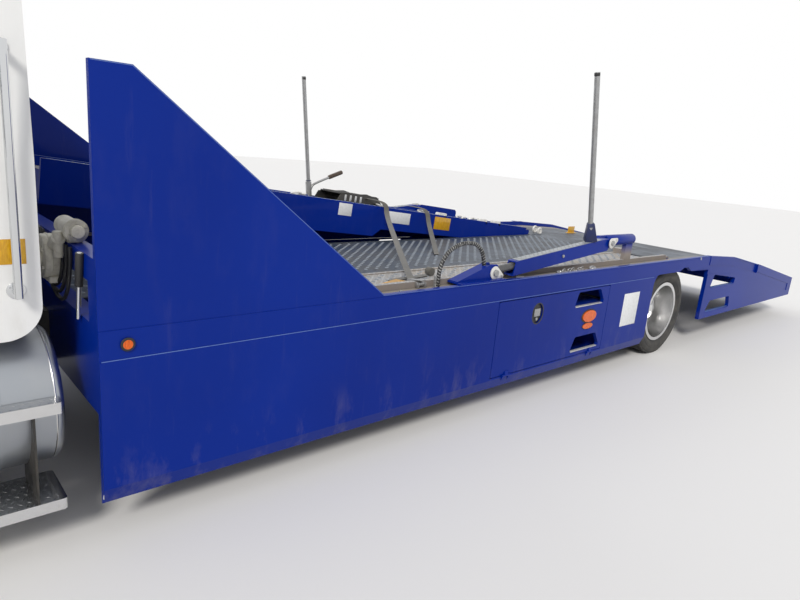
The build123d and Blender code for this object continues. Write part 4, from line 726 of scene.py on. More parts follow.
for title, side, name in sides:
    sheath = "lift_sheath_" + name
    (pinX, pinZ), (armX, armZ) = strut["pin"], strut["arm"][name]
    along = Vector((armX - pinX, 0.0, armZ - pinZ)).normalized()
    up = Vector((along.z, 0.0, -along.x))
    lean = -math.atan2(along.z, -along.x)
    start = Vector((pinX, side * strut["y"], pinZ)) + up * strut["top"]
    centre = start + along * (strut["plateStart"] + strut["plateLength"] / 2)
    plate = block(origin, (strut["plateLength"], 2 * strut["plateHalf"], 0.004), 0.001)
    dress(leaning(plate, centre, lean), "strutPlate" + title, sheath, "deck_steel", punchedSteel)
    rims, shadeDiscs = [], []
    for offset, share in strut["holeRows"]:
        ahead = strut["plateStart"] + 0.04 + strut["holePitch"] * share
        place = start + along * ahead + Vector((0.0, offset, 0.0)) + up * 0.002
        rims.append(leaning(punchedRim(origin, strut["holeScale"]), place, lean))
        # Dark discs in the plate's holes: painted shade seen through them
        shadeDisc = rod((0.0, 0.0, -0.001), (0.0, 0.0, 0.0006), strut["holeRadius"], 10)
        shadeDiscs.append(leaning(shadeDisc, place, lean))
    step = tuple(along * strut["holePitch"])
    rims, shadeDiscs = (row(joined(*holes), strut["holes"], step) for holes in (rims, shadeDiscs))
    dress(rims, "strutHoleRims" + title, sheath, "deck_steel", punchedSteel)
    dress(shadeDiscs, "strutHoleShade" + title, sheath, "black_plastic")

    outer = side * strut["outer"]
    for end, (x, z), body in (("front", strut["pin"], "chassis"), ("rear", (armX, armZ), sheath)):
        keeper = strut[end]
        near, far = (outer + side * face for face in keeper["faces"])
        plate = sideplate(teardrop(x, z, *keeper["outline"]), near, far, 0.002)
        head = peg((x, outer, z), side * keeper["stands"], keeper["head"], 32, 0.004)
        boltX, boltZ = keeper["bolt"]
        bolt = peg((boltX, outer, boltZ), side * keeper["boltStands"], keeper["boltRadius"], 6,
                   keeper["boltBevel"])
        dress(plate, end + "Keeper" + title, body, "strut_grey", keeperWhite)
        dress([head, bolt], end + "PinHead" + title, body, "strut_grey")

bar = {"y": 1.132, "z": 1.206, "front": -1.205, "back": -1.69, "radius": 0.047}
armBar = rod(*[(x, bar["y"], bar["z"]) for x in (bar["front"], bar["back"])], bar["radius"], 40, 0.006)
dress(armBar, "armBarLeft", "runway_left", "body_blue")
endCap = peg((bar["back"] + 0.004, bar["y"], bar["z"]), -0.012, 0.04, 32, 0.004, 0)
dress(endCap, "armBarCap", "runway_left", "black_plastic")
print("stage: struts")


# Locker door trim: latch cup, lamp bezels, slot sills and a bare placard behind the door

door = {
    "skin": 1.295,
    "latch": (-0.14, 0.711),
    "lamp": (-0.88, 0.605),
    "reflector": (-0.88, 0.519),
    "sills": [(-1.09, -0.655, 0.697), (-1.115, -0.675, 0.307)],
    "placard": {"centre": (-1.58, 0.5865), "size": (0.28, 0.003, 0.307)},
}


def sillsOf(places, y):
    # Lower edges of the slots, each between two X values, in a lighter finish as a painted highlight
    return joined(*[block(((back + front) / 2, y, height + 0.0015), (front - back, 0.03, 0.007), 0.002)
                    for back, front, height in places])


for title, side, name in sides:
    skin = side * door["skin"]
    body = "locker_door_" + name
    x, z = door["latch"]
    cup = ring((x, skin - side * 0.0025, z), 0.076, 0.007, size=(0.93, 1.12, 0.35))
    dish = dome((x, skin - side * 0.016, z), (0.066, 0.004, 0.08))
    paddle = block((x, skin - side * 0.009, z + 0.006), (0.072, 0.012, 0.062), 0.005)
    lock = peg((x, skin - side * 0.012, z - 0.045), side * 0.009, 0.012, 20, 0.002)
    dress([cup, dish], "latchCup" + title, body, "black_plastic")
    dress([paddle, lock], "latchPaddle" + title, body, "strut_grey")

    (lampX, lampZ), (smallX, smallZ) = door["lamp"], door["reflector"]
    bezel = ring((lampX, skin, lampZ), 0.1, 0.009, size=(1.06, 0.56, 0.45))
    small = ring((smallX, skin, smallZ), 0.075, 0.005, size=(1.05, 0.40, 0.8))
    dress([bezel, small], "lampBezels" + title, body, "black_plastic")
    dress(sillsOf(door["sills"], skin - side * 0.018), "slotSills" + title, body, "deck_steel", paleEdge)

    x, z = door["placard"]["centre"]
    placard = block((x, skin - side * 0.0012, z), door["placard"]["size"], 0.001)
    dress(placard, "placard" + title, "chassis", "cab_white", plateWhite)
print("stage: locker doors")


# Side edges: painted highlight lines along the deck's edge and the fairing, bolts, marker bezels

edge = {
    "y": 1.2835,
    "fairing": [(2.934, 2.0465), (2.781, 2.0465), (1.401, 0.9965), (-3.2, 0.9965)],
    "ledge": [(2.932, 0.8555), (-1.95, 0.8555)],
    "marker": (2.826, 0.9215),
    "kneeBolt": (-2.96, 0.979),
    "tailTop": [(-3.02, 1.007), (-3.95, 0.942), (-4.81, 0.803), (-6.270, 0.527)],
}

for title, side, name in sides:
    # A lighter blue line along the top edge: a painted highlight
    line = tube([(x, side * edge["y"], z) for x, z in edge["fairing"]], 0.0032, 2)
    dress(line, "deckEdgeHighlight" + title, "chassis", "deck_steel", highlightBlue)
    flange = block((2.9385, side * 1.2705, 1.12), (0.0028, 0.027, 1.82), 0.0008)
    dress(flange, "fairingReturn" + title, "chassis", "deck_steel", paleEdge)
    # A lighter blue line on the panel's ledge: a painted highlight
    ledge = tube([(x, side * 1.2918, z) for x, z in edge["ledge"]], 0.0028, 2)
    dress(ledge, "panelLedge" + title, "chassis", "body_blue", highlightBlue)

    x, z = edge["marker"]
    bezel = ring((x, side * 1.2968, z), 0.0245, 0.0065, size=(1.0, 1.0, 0.65))
    dress(bezel, "markerBezel" + title, "chassis", "black_plastic")
    x, z = edge["kneeBolt"]
    bolt = peg((x, side * 1.284, z), side * 0.0095, 0.016, 6, 0.002)
    dress(bolt, "tailBolt" + title, "chassis", "strut_grey")
print("stage: side edges")


# Right runway: wheel stop, lever, bare labels, reflector, strap hooks and hinge rings.
# Places on it are how far ahead of the hinge, the Y value, and how far above the hinge.

stop = {
    "outline": [(2.87, 0.0), (2.80, 0.13), (2.50, 0.165), (2.35, 0.14), (2.26, 0.05), (2.26, 0.0)],
    "y": (-0.70, -1.06),
    "slots": [2.73, 2.67, 2.61, 2.55],
    "tread": 0.122,
}
labels = [(2.72, 2.87, 0.015), (1.98, 2.27, 0.0)]
reflector = {"ahead": (1.39, 1.63), "above": (-0.10, 0.03)}
lever = {"route": [(2.86, 0.03), (2.85, 0.13), (2.80, 0.17), (2.513, 0.312)], "y": -1.12,
         "grip": [(2.66, 0.24), (2.513, 0.312)], "bands": (0.2, 0.4, 0.6, 0.8)}
rails = {"lines": [(-0.618, 0.046), (-1.132, 0.040)], "ahead": (0.1, 5.2)}
clips = {"hooks": [1.02, 1.20, 1.78, 2.36, 3.3], "boxes": [0.50, 0.74, 1.42], "y": -0.655}
hingeRings = {"places": [(-0.16, 0.03), (-0.26, 0.004)], "y": -0.612, "radius": 0.034}


def onRunway(ahead, y, above):
    turn = math.radians(runwayTilt["right"])
    x = hinge[0] + ahead * math.cos(turn) - above * math.sin(turn)
    return x, y, hinge[2] + ahead * math.sin(turn) + above * math.cos(turn)


def runwayBlock(ahead, y, above, bevel=0.0):
    centre = (hinge[0] + sum(ahead) / 2, sum(y) / 2, hinge[2] + sum(above) / 2)
    size = (ahead[1] - ahead[0], abs(y[1] - y[0]), above[1] - above[0])
    return turnedUp(block(centre, size, bevel))


cheeks = []
for y in stop["y"]:
    points = [(hinge[0] + ahead, hinge[2] - 0.024 + above) for ahead, above in stop["outline"]]
    cheeks.append(turnedUp(sideplate(points, y - 0.004, y + 0.004, 0.001)))
top = stop["tread"]
tread = runwayBlock((2.34, 2.78), stop["y"], (top - 0.012, top), 0.003)
tooth = runwayBlock((2.36, 2.375), stop["y"], (top - 0.002, top + 0.007), 0.001)
teeth = row(tooth, 12, (0.034, 0.0, 0.0036))
dress([*cheeks, tread, teeth], "wheelStop", "runway_right", "chassis_black")
slots = [runwayBlock((ahead, ahead + 0.022), (-0.6965, -0.6945), (0.055, 0.11), 0.0006)
         for ahead in stop["slots"]]
dress(slots, "wheelStopSlots", "runway_right", "deck_steel", paleEdge)

route = [onRunway(ahead, lever["y"], above) for ahead, above in lever["route"]]
dress(hose(route, 0.011), "leverBar", "runway_right", "strut_grey")
low, high = (Vector(onRunway(ahead, lever["y"], above)) for ahead, above in lever["grip"])
bands = [ring(low.lerp(high, share), 0.019, 0.003, (0.0, 0.58 + math.pi / 2, 0.0), 20, 6)
         for share in lever["bands"]]
grip = joined(rod(low, high, 0.02, 20, 0.005), *bands)
dress(grip, "leverGrip", "runway_right", "black_plastic", gripBrown)

plates = [runwayBlock((start, end), (-0.5985, -0.6005), (-0.09 + above, 0.02 + above), 0.0006)
          for start, end, above in labels]
dress(plates, "runwayLabels", "runway_right", "cab_white", plateWhite)
pane = runwayBlock(reflector["ahead"], (-0.5975, -0.6005), reflector["above"], 0.001)
dress(pane, "runwayReflector", "runway_right", "amber_lens", reflectorYellow)

# Lighter blue lines along the runway's rails: painted highlights
railHighlights = []
for y, above in rails["lines"]:
    start, end = (onRunway(ahead, y, above) for ahead in rails["ahead"])
    railHighlights.append(rod(start, end, 0.0065, 10))
dress(railHighlights, "runwayRailHighlight", "runway_right", "deck_steel", highlightBlue)
rim = turnedUp(punchedRim((hinge[0] + 0.30, -0.6185, hinge[2] + 0.0505), 0.6))
strip = joined(runwayBlock((0.25, 5.12), (-0.604, -0.633), (0.0462, 0.0502), 0.001),
               row(rim, 74, (0.0646, 0.0, 0.00679)))
dress(strip, "runwayTopStrip", "runway_right", "deck_steel", punchedSteel)

clutter = []
for index, ahead in enumerate(clips["hooks"]):
    place = onRunway(ahead, clips["y"], 0.058)
    clutter.append(ring(place, 0.03, 0.008, (0.25, 0.2, index * 1.3), 24, size=(1.4, 1.0, 1.0)))
    clutter.append(rod(onRunway(ahead - 0.09, clips["y"] + 0.01, 0.062),
                       onRunway(ahead - 0.03, clips["y"], 0.06), 0.008, 12, 0.002))
for ahead in clips["boxes"]:
    clutter.append(runwayBlock((ahead, ahead + 0.12), (-0.635, -0.70), (0.0, 0.075), 0.01))
    button = peg((hinge[0] + ahead + 0.06, -0.63, hinge[2] + 0.038), 0.03, 0.016, 20, 0.003)
    clutter.append(turnedUp(button))
dress(clutter, "runwayHooks", "runway_right", "strut_grey", keeperWhite)
rings = []
for ahead, above in hingeRings["places"]:
    centre = (hinge[0] + ahead, hingeRings["y"], hinge[2] + above)
    rings.append(ring(centre, hingeRings["radius"], 0.013))
    low = (centre[0], centre[1], centre[2] - hingeRings["radius"])
    rings.append(copiedRound(peg(low, 2 * hingeRings["radius"], 0.007, 10, axis=2), 3, centre))
dress(rings, "hingeRings", "chassis", "strut_grey", keeperWhite)
print("stage: right runway")


# Straps: flat webbing ribbons, a ratchet, a reel, a chain and bolts along the ledges

strapWidth = 0.05
tightStraps = {
    "farStrap": [(0.06, -0.74, 1.345), (-0.08, -0.64, 1.335), (-0.15, -0.575, 1.30), (-0.10, -0.50, 1.215),
                 (0.18, -0.10, 1.150), (0.56, 0.45, 1.075), (0.92, 0.97, 1.012), (0.99, 1.08, 0.998)],
    "innerStrap": [(-0.60, -0.74, 1.265), (-0.68, -0.64, 1.262), (-0.71, -0.575, 1.225),
                   (-0.66, -0.50, 1.14), (-0.48, -0.26, 1.055), (-0.28, 0.0, 0.985), (-0.12, 0.19, 0.960)],
}
looseStraps = {
    "yellowStrap": {"route": [(0.90, 0.87, 0.957), (0.99, 0.90, 0.9575), (1.07, 0.93, 0.957),
                              (1.16, 0.97, 0.9575), (1.25, 1.0, 0.957)],
                    "width": 0.075, "across": (-0.35, 1.0, 0.0), "thickness": 0.004,
                    "slot": "body_blue", "finish": strapYellow},
    "laidStrap": {"route": [(0.60, 0.80, 0.957), (0.72, 0.83, 0.9575), (0.86, 0.82, 0.957),
                            (0.99, 0.86, 0.9575)],
                  "width": strapWidth, "across": (0.0, 1.0, 0.0), "thickness": 0.0028,
                  "slot": "seat_fabric", "finish": webbingGrey},
}
ledgeGear = {"ratchet": (1.0, 1.125, 0.992), "chain": (-0.55, 1.203, 0.984), "links": 9,
             "bolts": (-1.9, -1.62, -1.34, 0.9, 1.2), "boltLine": (1.205, 0.98)}


def ribbon(points, width, across, thickness=0.0028):
    # A flat strap along a smooth line, as wide as given along one direction
    guide = splineOf(points, "NURBS")
    guide.data.resolution_u = 8
    line = [vertex.co.copy() for vertex in bpy.data.meshes.new_from_object(guide).vertices]
    bpy.data.objects.remove(guide)
    half = Vector(across).normalized() * width / 2
    corners, faces = [], []
    for place in line:
        corners += [place - half, place, place + half]
    for index in range(len(line) - 1):
        for first in (index * 3, index * 3 + 1):
            faces.append((first, first + 1, first + 4, first + 3))
    mesh = bpy.data.meshes.new("ribbon")
    mesh.from_pydata(corners, [], faces)
    mesh.update()
    piece = bpy.data.objects.new("ribbon", mesh)
    bpy.context.scene.collection.objects.link(piece)
    length = sum((end - start).length for start, end in zip(line, line[1:]))
    return applyModifier(piece, "SOLIDIFY", thickness=thickness, offset=0.0), length


for name, route in tightStraps.items():
    piece, length = ribbon(route, strapWidth, (1.0, -0.25, 0.0))
    dress(piece, name, None, "seat_fabric", webbingGrey)  # not attached to any body
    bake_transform(piece)

x, y, z = ledgeGear["ratchet"]
cheeks = [block((x + shift, y, z + 0.008), (0.004, 0.12, 0.032), 0.001) for shift in (-0.03, 0.03)]
ratchet = joined(*cheeks,
                 peg((x - 0.036, y + 0.035, z + 0.012), 0.072, 0.014, 20, 0.002, 0),
                 peg((x - 0.036, y - 0.04, z + 0.004), 0.072, 0.006, 12, 0.0, 0),
                 block((x, y, z + 0.032), (0.052, 0.13, 0.008), 0.003, (0.16, 0.0, 0.0)))
dress(ratchet, "ledgeRatchet", "chassis", "strut_grey")

for name, strap in looseStraps.items():
    piece, length = ribbon(strap["route"], strap["width"], strap["across"], strap["thickness"])
    dress(piece, name, "runway_left", strap["slot"], strap["finish"])
reel = joined(peg((0.56, 0.775, 0.982), 0.05, 0.03, 32, 0.003),
              *[ring((0.56, 0.774, 0.982), radius, 0.002) for radius in (0.018, 0.025)])
dress(reel, "strapReel", "runway_left", "seat_fabric", webbingGrey)

links = []
x, y, z = ledgeGear["chain"]
for index in range(ledgeGear["links"]):
    turn = (0.0, 0.0, 0.15 * math.sin(index)) if index % 2 else (math.pi / 2, 0.0, 0.1)
    lift = 0.0 if index % 2 else 0.012
    links.append(ring((x - 0.034 * index, y + 0.008 * math.sin(index * 1.3), z + lift), 0.014, 0.0042, turn,
                      16, 8, (1.5, 1.0, 1.0)))
hook = ring((x + 0.05, y, z + 0.003), 0.026, 0.007, (0.0, 0.0, 0.4), 24, size=(1.3, 1.0, 1.0))
cup = dome((x - 0.42, y + 0.003, 0.981), (0.038, 0.034, 0.03))
dress([hook, cup, *links], "ledgeChain", "chassis", "strut_grey")
diamond = block((0.02, 1.205, 0.984), (0.10, 0.06, 0.008), 0.002, (0.0, 0.0, 0.7))
dress(diamond, "ledgeDiamond", "chassis", "strut_grey", keeperWhite)

y, z = ledgeGear["boltLine"]
for title, side, name in sides:
    studs = []
    for x in ledgeGear["bolts"]:
        studs.append(peg((x, side * y, z), 0.011, 0.013, 6, 0.002, 2))
        studs.append(peg((x, side * y, z), 0.003, 0.02, 20, 0.0, 2))
    dress(studs, "ledgeBolts" + title, "chassis", "strut_grey")
print("stage: strap gear")


# Post caps and collars

post = {
    "left": {"radius": 0.022, "body": "lift_sheath_left"},
    "right": {"radius": 0.019, "body": "runway_right"},
    "collars": (0.132, 0.05),
}


def postLine(name):
    # The post's foot, top and direction, from the box of its CAD node
    low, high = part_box("guide_post_" + name)
    y = (low[1] + high[1]) / 2
    foot, top = Vector((low[0] + 0.028, y, low[2] + 0.012)), Vector((high[0] - 0.02, y, high[2] - 0.012))
    run = (top - foot).normalized()
    return foot, top, run, run.to_track_quat("Z", "Y").to_euler()


for title, side, name in sides:
    sizes = post[name]
    foot, top, run, turn = postLine(name)
    cap = rod(top - run * 0.02, top + run * 0.004, sizes["radius"], 24, 0.003)
    collars = [ring(foot + run * height, sizes["radius"] + 0.003, 0.004, turn, 28)
               for height in post["collars"]]
    dress(cap, "postCap" + title, sizes["body"], "black_plastic")
    dress(collars, "postCollar" + title, sizes["body"], "body_blue", darkBlue)
print("stage: posts")


# Lift hoses: crimped ends with hexagon nuts

hoseFoot = (0.88, 1.186, 0.98)
for title, side, name in sides:
    x, y, z = hoseFoot[0], side * hoseFoot[1], hoseFoot[2]
    foot = joined(peg((x, y, z - 0.002), 0.024, 0.021, 6, 0.002, 2),
                  peg((x, y, z + 0.022), 0.053, 0.0175, 24, 0.003, 2),
                  *[ring((x, y, z + height), 0.017, 0.0022, unturned, 24, 6) for height in (0.036, 0.052)])
    dress(foot, "hoseFoot" + title, "chassis", "strut_grey")
print("stage: hoses")


# Gap behind the cab: winch flange, gas struts, hoses and the pump

gap = {"winch": (2.91, 0.9, 1.345), "strutX": 2.955, "hoses": ((0.34, 0.0), (0.40, 0.02), (0.46, 0.045))}
x, y, z = gap["winch"]
flange = joined(rod((x, y - 0.006, z), (x, y + 0.008, z), 0.05, 40, 0.004),
                peg((x, y + 0.006, z), 0.034, 0.03, 32, 0.008))
bolt = peg((x, y + 0.008, z + 0.04), 0.008, 0.006, 6)
dress([flange, copiedRound(bolt, 6, (x, y, z))], "winchFlange", "chassis", "winch_cream")

for title, side, name in sides:
    x = gap["strutX"]
    stay = rod((x, side * 1.06, 0.99), (x, side * 1.12, 1.29), 0.010, 20)
    barrel = rod((x, side * 1.09, 1.14), (x, side * 1.12, 1.29), 0.017, 24, 0.003)
    dress(stay, "gasStrutRod" + title, "chassis", "bright_chrome")
    dress(barrel, "gasStrutBody" + title, "chassis", "black_plastic")
lines = []
for start, drop in gap["hoses"]:
    route = [(2.953, start, 1.285), (2.965, start + 0.1, 1.16 - drop), (2.968, start + 0.26, 1.07 - drop),
             (2.962, start + 0.42, 1.06 - drop), (2.953, start + 0.5, 1.18), (2.953, start + 0.5, 1.285)]
    lines.append(hose(route, 0.009, 3))
dress(lines, "gapHoses", "chassis", "black_plastic")
pump = {"centre": (2.943, 0.70, 1.20), "radius": 0.105, "depth": 0.075}
x, y, z = pump["centre"]
faceX = x + pump["depth"]
bolt = peg((faceX, y, z + 0.08), 0.008, 0.008, 6, 0.001, 0)
parts = [peg(pump["centre"], pump["depth"], pump["radius"], 48, 0.012, 0),
         peg((faceX - 0.002, y, z), 0.018, 0.052, 36, 0.006, 0),
         peg((faceX + 0.014, y, z), 0.012, 0.022, 24, 0.004, 0),
         block((x + 0.03, y, z - 0.10), (0.055, 0.16, 0.03), 0.005),
         rod((x + 0.03, y + 0.07, z + 0.06), (x + 0.03, y + 0.16, z + 0.11), 0.03, 24, 0.005),
         peg((x + 0.03, y + 0.15, z + 0.02), 0.12, 0.022, 24, 0.005, 2),
         copiedRound(bolt, 6, (x, y, z), (1.0, 0.0, 0.0)),
         ring((faceX - 0.03, y, z), 0.104, 0.005, facesX, 48, 8)]
dress(parts, "gapPump", "chassis", "winch_cream")
print("stage: gap behind the cab")


# Steps and tanks: raised lozenges on the treads, tank caps and end seams

steps = {
    "upper": {"z": 0.7005, "y": (1.212, 1.252), "rows": 2},
    "lower": {"z": 0.2595, "y": (1.015, 1.252), "rows": 8},
    "start": 3.11, "count": 29, "pitch": 0.0335, "turn": 0.75, "size": (0.015, 0.0042, 0.0036),
}
tank = {"cap": (3.95, 0.98, 0.895), "seams": (3.085, 4.255), "middle": (0.895, 0.615), "radius": 0.303}
for title, side, name in sides:
    treads = []
    for sizes in (steps["upper"], steps["lower"]):
        between = (sizes["y"][1] - sizes["y"][0]) / (sizes["rows"] - 1)
        for index in range(sizes["rows"]):
            turn, shift = (steps["turn"], steps["pitch"] / 2) if index % 2 else (-steps["turn"], 0.0)
            place = (steps["start"] + shift, side * (sizes["y"][0] + between * index), sizes["z"])
            lozenge = dome(origin, steps["size"], 6)
            lozenge.matrix_world = Matrix.Translation(place) @ Matrix.Rotation(turn, 4, "Z")
            treads.append(row(applyPlace(lozenge), steps["count"], (steps["pitch"], 0.0, 0.0)))
    dress(treads, "stepLozenges" + title, "chassis", "polished_aluminium")

    x, y, z = tank["cap"]
    neck = rod((x, side * y, z), (x, side * (y + 0.02), z + 0.05), 0.05, 36, 0.005)
    lid = rod((x, side * (y + 0.018), z + 0.045), (x, side * (y + 0.023), z + 0.06), 0.036, 6, 0.004)
    dress([neck, lid], "tankCap" + title, "chassis", "polished_aluminium")
    y, z = tank["middle"]
    seams = [ring((x, side * y, z), tank["radius"], 0.004, facesX, 72, 6) for x in tank["seams"]]
    dress(seams, "tankSeams" + title, "chassis", "polished_aluminium")
print("stage: steps and tanks")


# Dark socket round the near post's foot

socket = {"low": 0.055, "high": 0.030, "height": 0.15}
foot, top, run, turn = postLine("left")
bpy.ops.mesh.primitive_cone_add(vertices=4, radius1=socket["low"] * 1.25, radius2=socket["high"] * 1.25,
                                depth=socket["height"], location=foot + run * socket["height"] * 0.5,
                                rotation=turn)
sleeve = softened(applyPlace(bpy.context.object), 0.004)
dress(sleeve, "postSocketLeft", "lift_sheath_left", "body_blue", darkBlue)
print("stage: post socket")


# Cab outside: door handles, window seals, mirror glass, handle bases, wipers and lamp bases

cab = {
    "half": 1.12, "roofHalf": 1.02, "belt": 1.65, "roof": 2.68,
    "handle": (3.50, 1.50),
    "windowOutline": [(3.425, 1.715), (3.425, 2.44), (3.952, 2.44), (4.205, 1.995), (4.205, 1.715)],
    "mirror": (4.185, 1.35, 1.83),
    "grab": {"x": 3.19, "heights": (1.15, 2.06), "screws": (0.6, 2.7, 4.8)},
    "screens": {
        "rearWindow": {"low": (3.1215, 1.76), "high": (3.1215, 2.36), "halves": (0.72, 0.72), "seal": 0.009},
        "windscreen": {"low": (4.483, 1.85), "high": (4.122, 2.51), "halves": (0.915, 0.835), "seal": 0.010},
    },
    "roofLamps": (-0.78, -0.18, 0.0, 0.18, 0.78),
    "wipers": ((0.62, 0.16), (-0.10, -0.56)),
}


def cabSide(z):
    # How far the cab's side stands from the middle at a height
    rise = max(0.0, z - cab["belt"])
    return cab["half"] - (cab["half"] - cab["roofHalf"]) * rise / (cab["roof"] - cab["belt"])


for title, side, name in sides:
    body = "door_" + name
    x, z = cab["handle"]
    y = side * cabSide(z)
    plate = block((x, y + side * 0.002, z), (0.17, 0.006, 0.062), 0.002)
    grip = block((x, y + side * 0.022, z + 0.006), (0.13, 0.014, 0.026), 0.005)
    feet = [peg((x + shift, y, z + 0.006), side * 0.022, 0.01, 16) for shift in (-0.05, 0.05)]
    lock = peg((x + 0.066, y, z - 0.018), side * 0.009, 0.009, 20, 0.001)
    dress([plate, lock], "doorHandlePlate" + title, body, "black_plastic")
    dress([grip, *feet], "doorHandle" + title, body, "bright_chrome")

    route = [(x, side * (cabSide(z) - 0.019), z) for x, z in cab["windowOutline"]]
    dress(tube(route, 0.0085, 3, True), "doorWindowSeal" + title, body, "black_plastic")

    x, y, z = cab["mirror"]
    glass = block((x - 0.0005, side * y, z + 0.055), (0.003, 0.165, 0.27), 0.001)
    spot = block((x - 0.0005, side * y, z - 0.145), (0.003, 0.155, 0.085), 0.001)
    dress([glass, spot], "mirrorGlass" + title, body, "bright_chrome", mirrorGlass)
    bases = []
    for z in cab["grab"]["heights"]:
        x, y = cab["grab"]["x"], side * cabSide(z)
        bases.append(peg((x, y - side * 0.002, z), side * 0.009, 0.034, 32, 0.003))
        for turn in cab["grab"]["screws"]:
            place = (x + 0.024 * math.cos(turn), y + side * 0.006, z + 0.024 * math.sin(turn))
            bases.append(peg(place, side * 0.004, 0.0045, 6))
    dress(bases, "grabHandleBases" + title, "chassis", "bright_chrome")
    marker = block((3.205, side * (cab["half"] + 0.0005), 1.305), (0.115, 0.002, 0.10), 0.0006)
    dress(marker, "cabSideMarker" + title, "chassis", "amber_lens", reflectorYellow)

for name, screen in cab["screens"].items():
    (lowX, lowZ), (highX, highZ), (lowY, highY) = screen["low"], screen["high"], screen["halves"]
    route = [(lowX, -lowY, lowZ), (lowX, lowY, lowZ), (highX, highY, highZ), (highX, -highY, highZ)]
    dress(tube(route, screen["seal"], 3, True), name + "Seal", "chassis", "black_plastic")


def onScreen(y, share, off=0.0):
    # A place on the windscreen: a share of the way up, and how far it stands off
    run = Vector((highX - lowX, 0.0, highZ - lowZ))
    out = Vector((run.z, 0.0, -run.x)).normalized()
    return Vector((lowX, y, lowZ)) + run * share + out * off


wipers = []
for pivot, tip in cab["wipers"]:
    base = onScreen(pivot, -0.04, 0.012)
    bend = onScreen(pivot - 0.05, 0.10, 0.035)
    end = onScreen((pivot + tip) / 2, 0.42, 0.022)
    wipers.append(hose([base, bend, bend.lerp(end, 0.5), end], 0.006, 2))
    wipers.append(rod(onScreen(pivot, -0.04), onScreen(pivot, -0.04, 0.03), 0.016, 20, 0.003))
    for off, radius, edges in ((0.012, 0.005, 8), (0.006, 0.003, 6)):
        blade = onScreen(pivot - 0.46, 0.08, off), onScreen(tip + 0.18, 0.74, off)
        wipers.append(rod(*blade, radius, edges))
dress(wipers, "wipers", "chassis", "black_plastic")

bases = [block((3.98, y, 2.6735), (0.15, 0.082, 0.012), 0.004) for y in cab["roofLamps"]]
dress(bases, "roofLampBases", "chassis", "black_plastic")
plugs = [peg((4.01, y, 2.668), 0.014, 0.012, 20, 0.002, 2) for y in (0.62, -0.62)]
dress(plugs, "roofPlugs", "chassis", "black_plastic")
print("stage: cab outside")


# Seats: crowned cushions with sewn channels, welts and a bellows foot

seat = {
    "y": 0.52,
    "base": {"x": 3.59, "z": 1.285, "size": (0.50, 0.49, 0.15), "bevel": 0.03, "turn": unturned,
             "channels": (-0.55, 0.0, 0.55)},
    "rest": {"x": 3.335, "z": 1.665, "size": (0.56, 0.48, 0.10), "bevel": 0.025,
             "turn": (0.0, math.radians(99), 0.0), "channels": (-0.5, 0.0, 0.5)},
    "crown": 0.016, "channelDepth": 0.012, "channelWidth": 0.045, "drawIn": (0.010, 0.008),
    "welt": {"x": (3.35, 3.83), "half": 0.235, "z": 1.352},
    "folds": 6,
}


def cushion(part, y):
    # A block whose faces bulge and whose sides draw in between the corners, with sewn channels on top
    bpy.ops.mesh.primitive_cube_add(size=1.0)
    pad = bpy.context.object
    pad.scale = part["size"]
    edited(softened(applyPlace(pad), part["bevel"], 4), (bpy.ops.mesh.subdivide, {"number_cuts": 9}))
    half = [length / 2 for length in part["size"]]
    for vertex in pad.data.vertices:
        u, v, w = (vertex.co[axis] / half[axis] for axis in range(3))
        if w > 0.5:
            vertex.co.z += seat["crown"] * ((1 - u * u) * (1 - v * v))
            for place in part["channels"]:
                groove = math.exp(-((v - place) / seat["channelWidth"]) ** 2)
                vertex.co.z -= seat["channelDepth"] * groove * (1 - abs(u) ** 6)
        vertex.co.x -= seat["drawIn"][0] * math.copysign(1, u) * (1 - v * v) * (abs(u) > 0.9)
        vertex.co.y -= seat["drawIn"][1] * math.copysign(1, v) * (1 - u * u) * (abs(v) > 0.9)
    pad.location = (part["x"], y, part["z"])
    pad.rotation_euler = part["turn"]
    return applyPlace(pad)


for title, side, name in sides:
    y = side * seat["y"]
    base, rest = cushion(seat["base"], y), cushion(seat["rest"], y)
    for pad, words in ((base, "seatCushion"), (rest, "seatBack")):
        dress(pad, words + title, "chassis", "seat_fabric", None, 60)
    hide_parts("seats")
    (back, front), half, z = seat["welt"]["x"], seat["welt"]["half"], seat["welt"]["z"]
    welts = tube([(back, y - half, z), (front, y - half, z), (front, y + half, z), (back, y + half, z)],
                 0.005, 3, True)
    dress(welts, "seatWelt" + title, "chassis", "seat_fabric", webbingGrey)
    folds = []
    for index in range(seat["folds"]):
        narrow = 0.02 * (index % 2)
        folds.append(block((3.584, y, 1.02 + 0.035 * index), (0.26 - narrow, 0.30 - narrow, 0.034), 0.008))
    dress(folds, "seatBellows" + title, "chassis", "black_plastic")
print("stage: seats")


# Dashboard: dial rims with bare dials, vents, and the steering wheel's pad with its stalks

dash = {"dials": [(0.36, 1.56, 0.045), (0.47, 1.565, 0.062), (0.61, 1.565, 0.062), (0.72, 1.56, 0.045)],
        "vents": [(0.92, 1.54), (0.16, 1.54), (-0.16, 1.54), (-0.92, 1.54)],
        "wheel": (4.0835, 0.52, 1.6247), "stalks": (0.11, -0.11)}


def onDash(z):
    return 4.2 + (1.62 - z) / 0.23 * 0.04


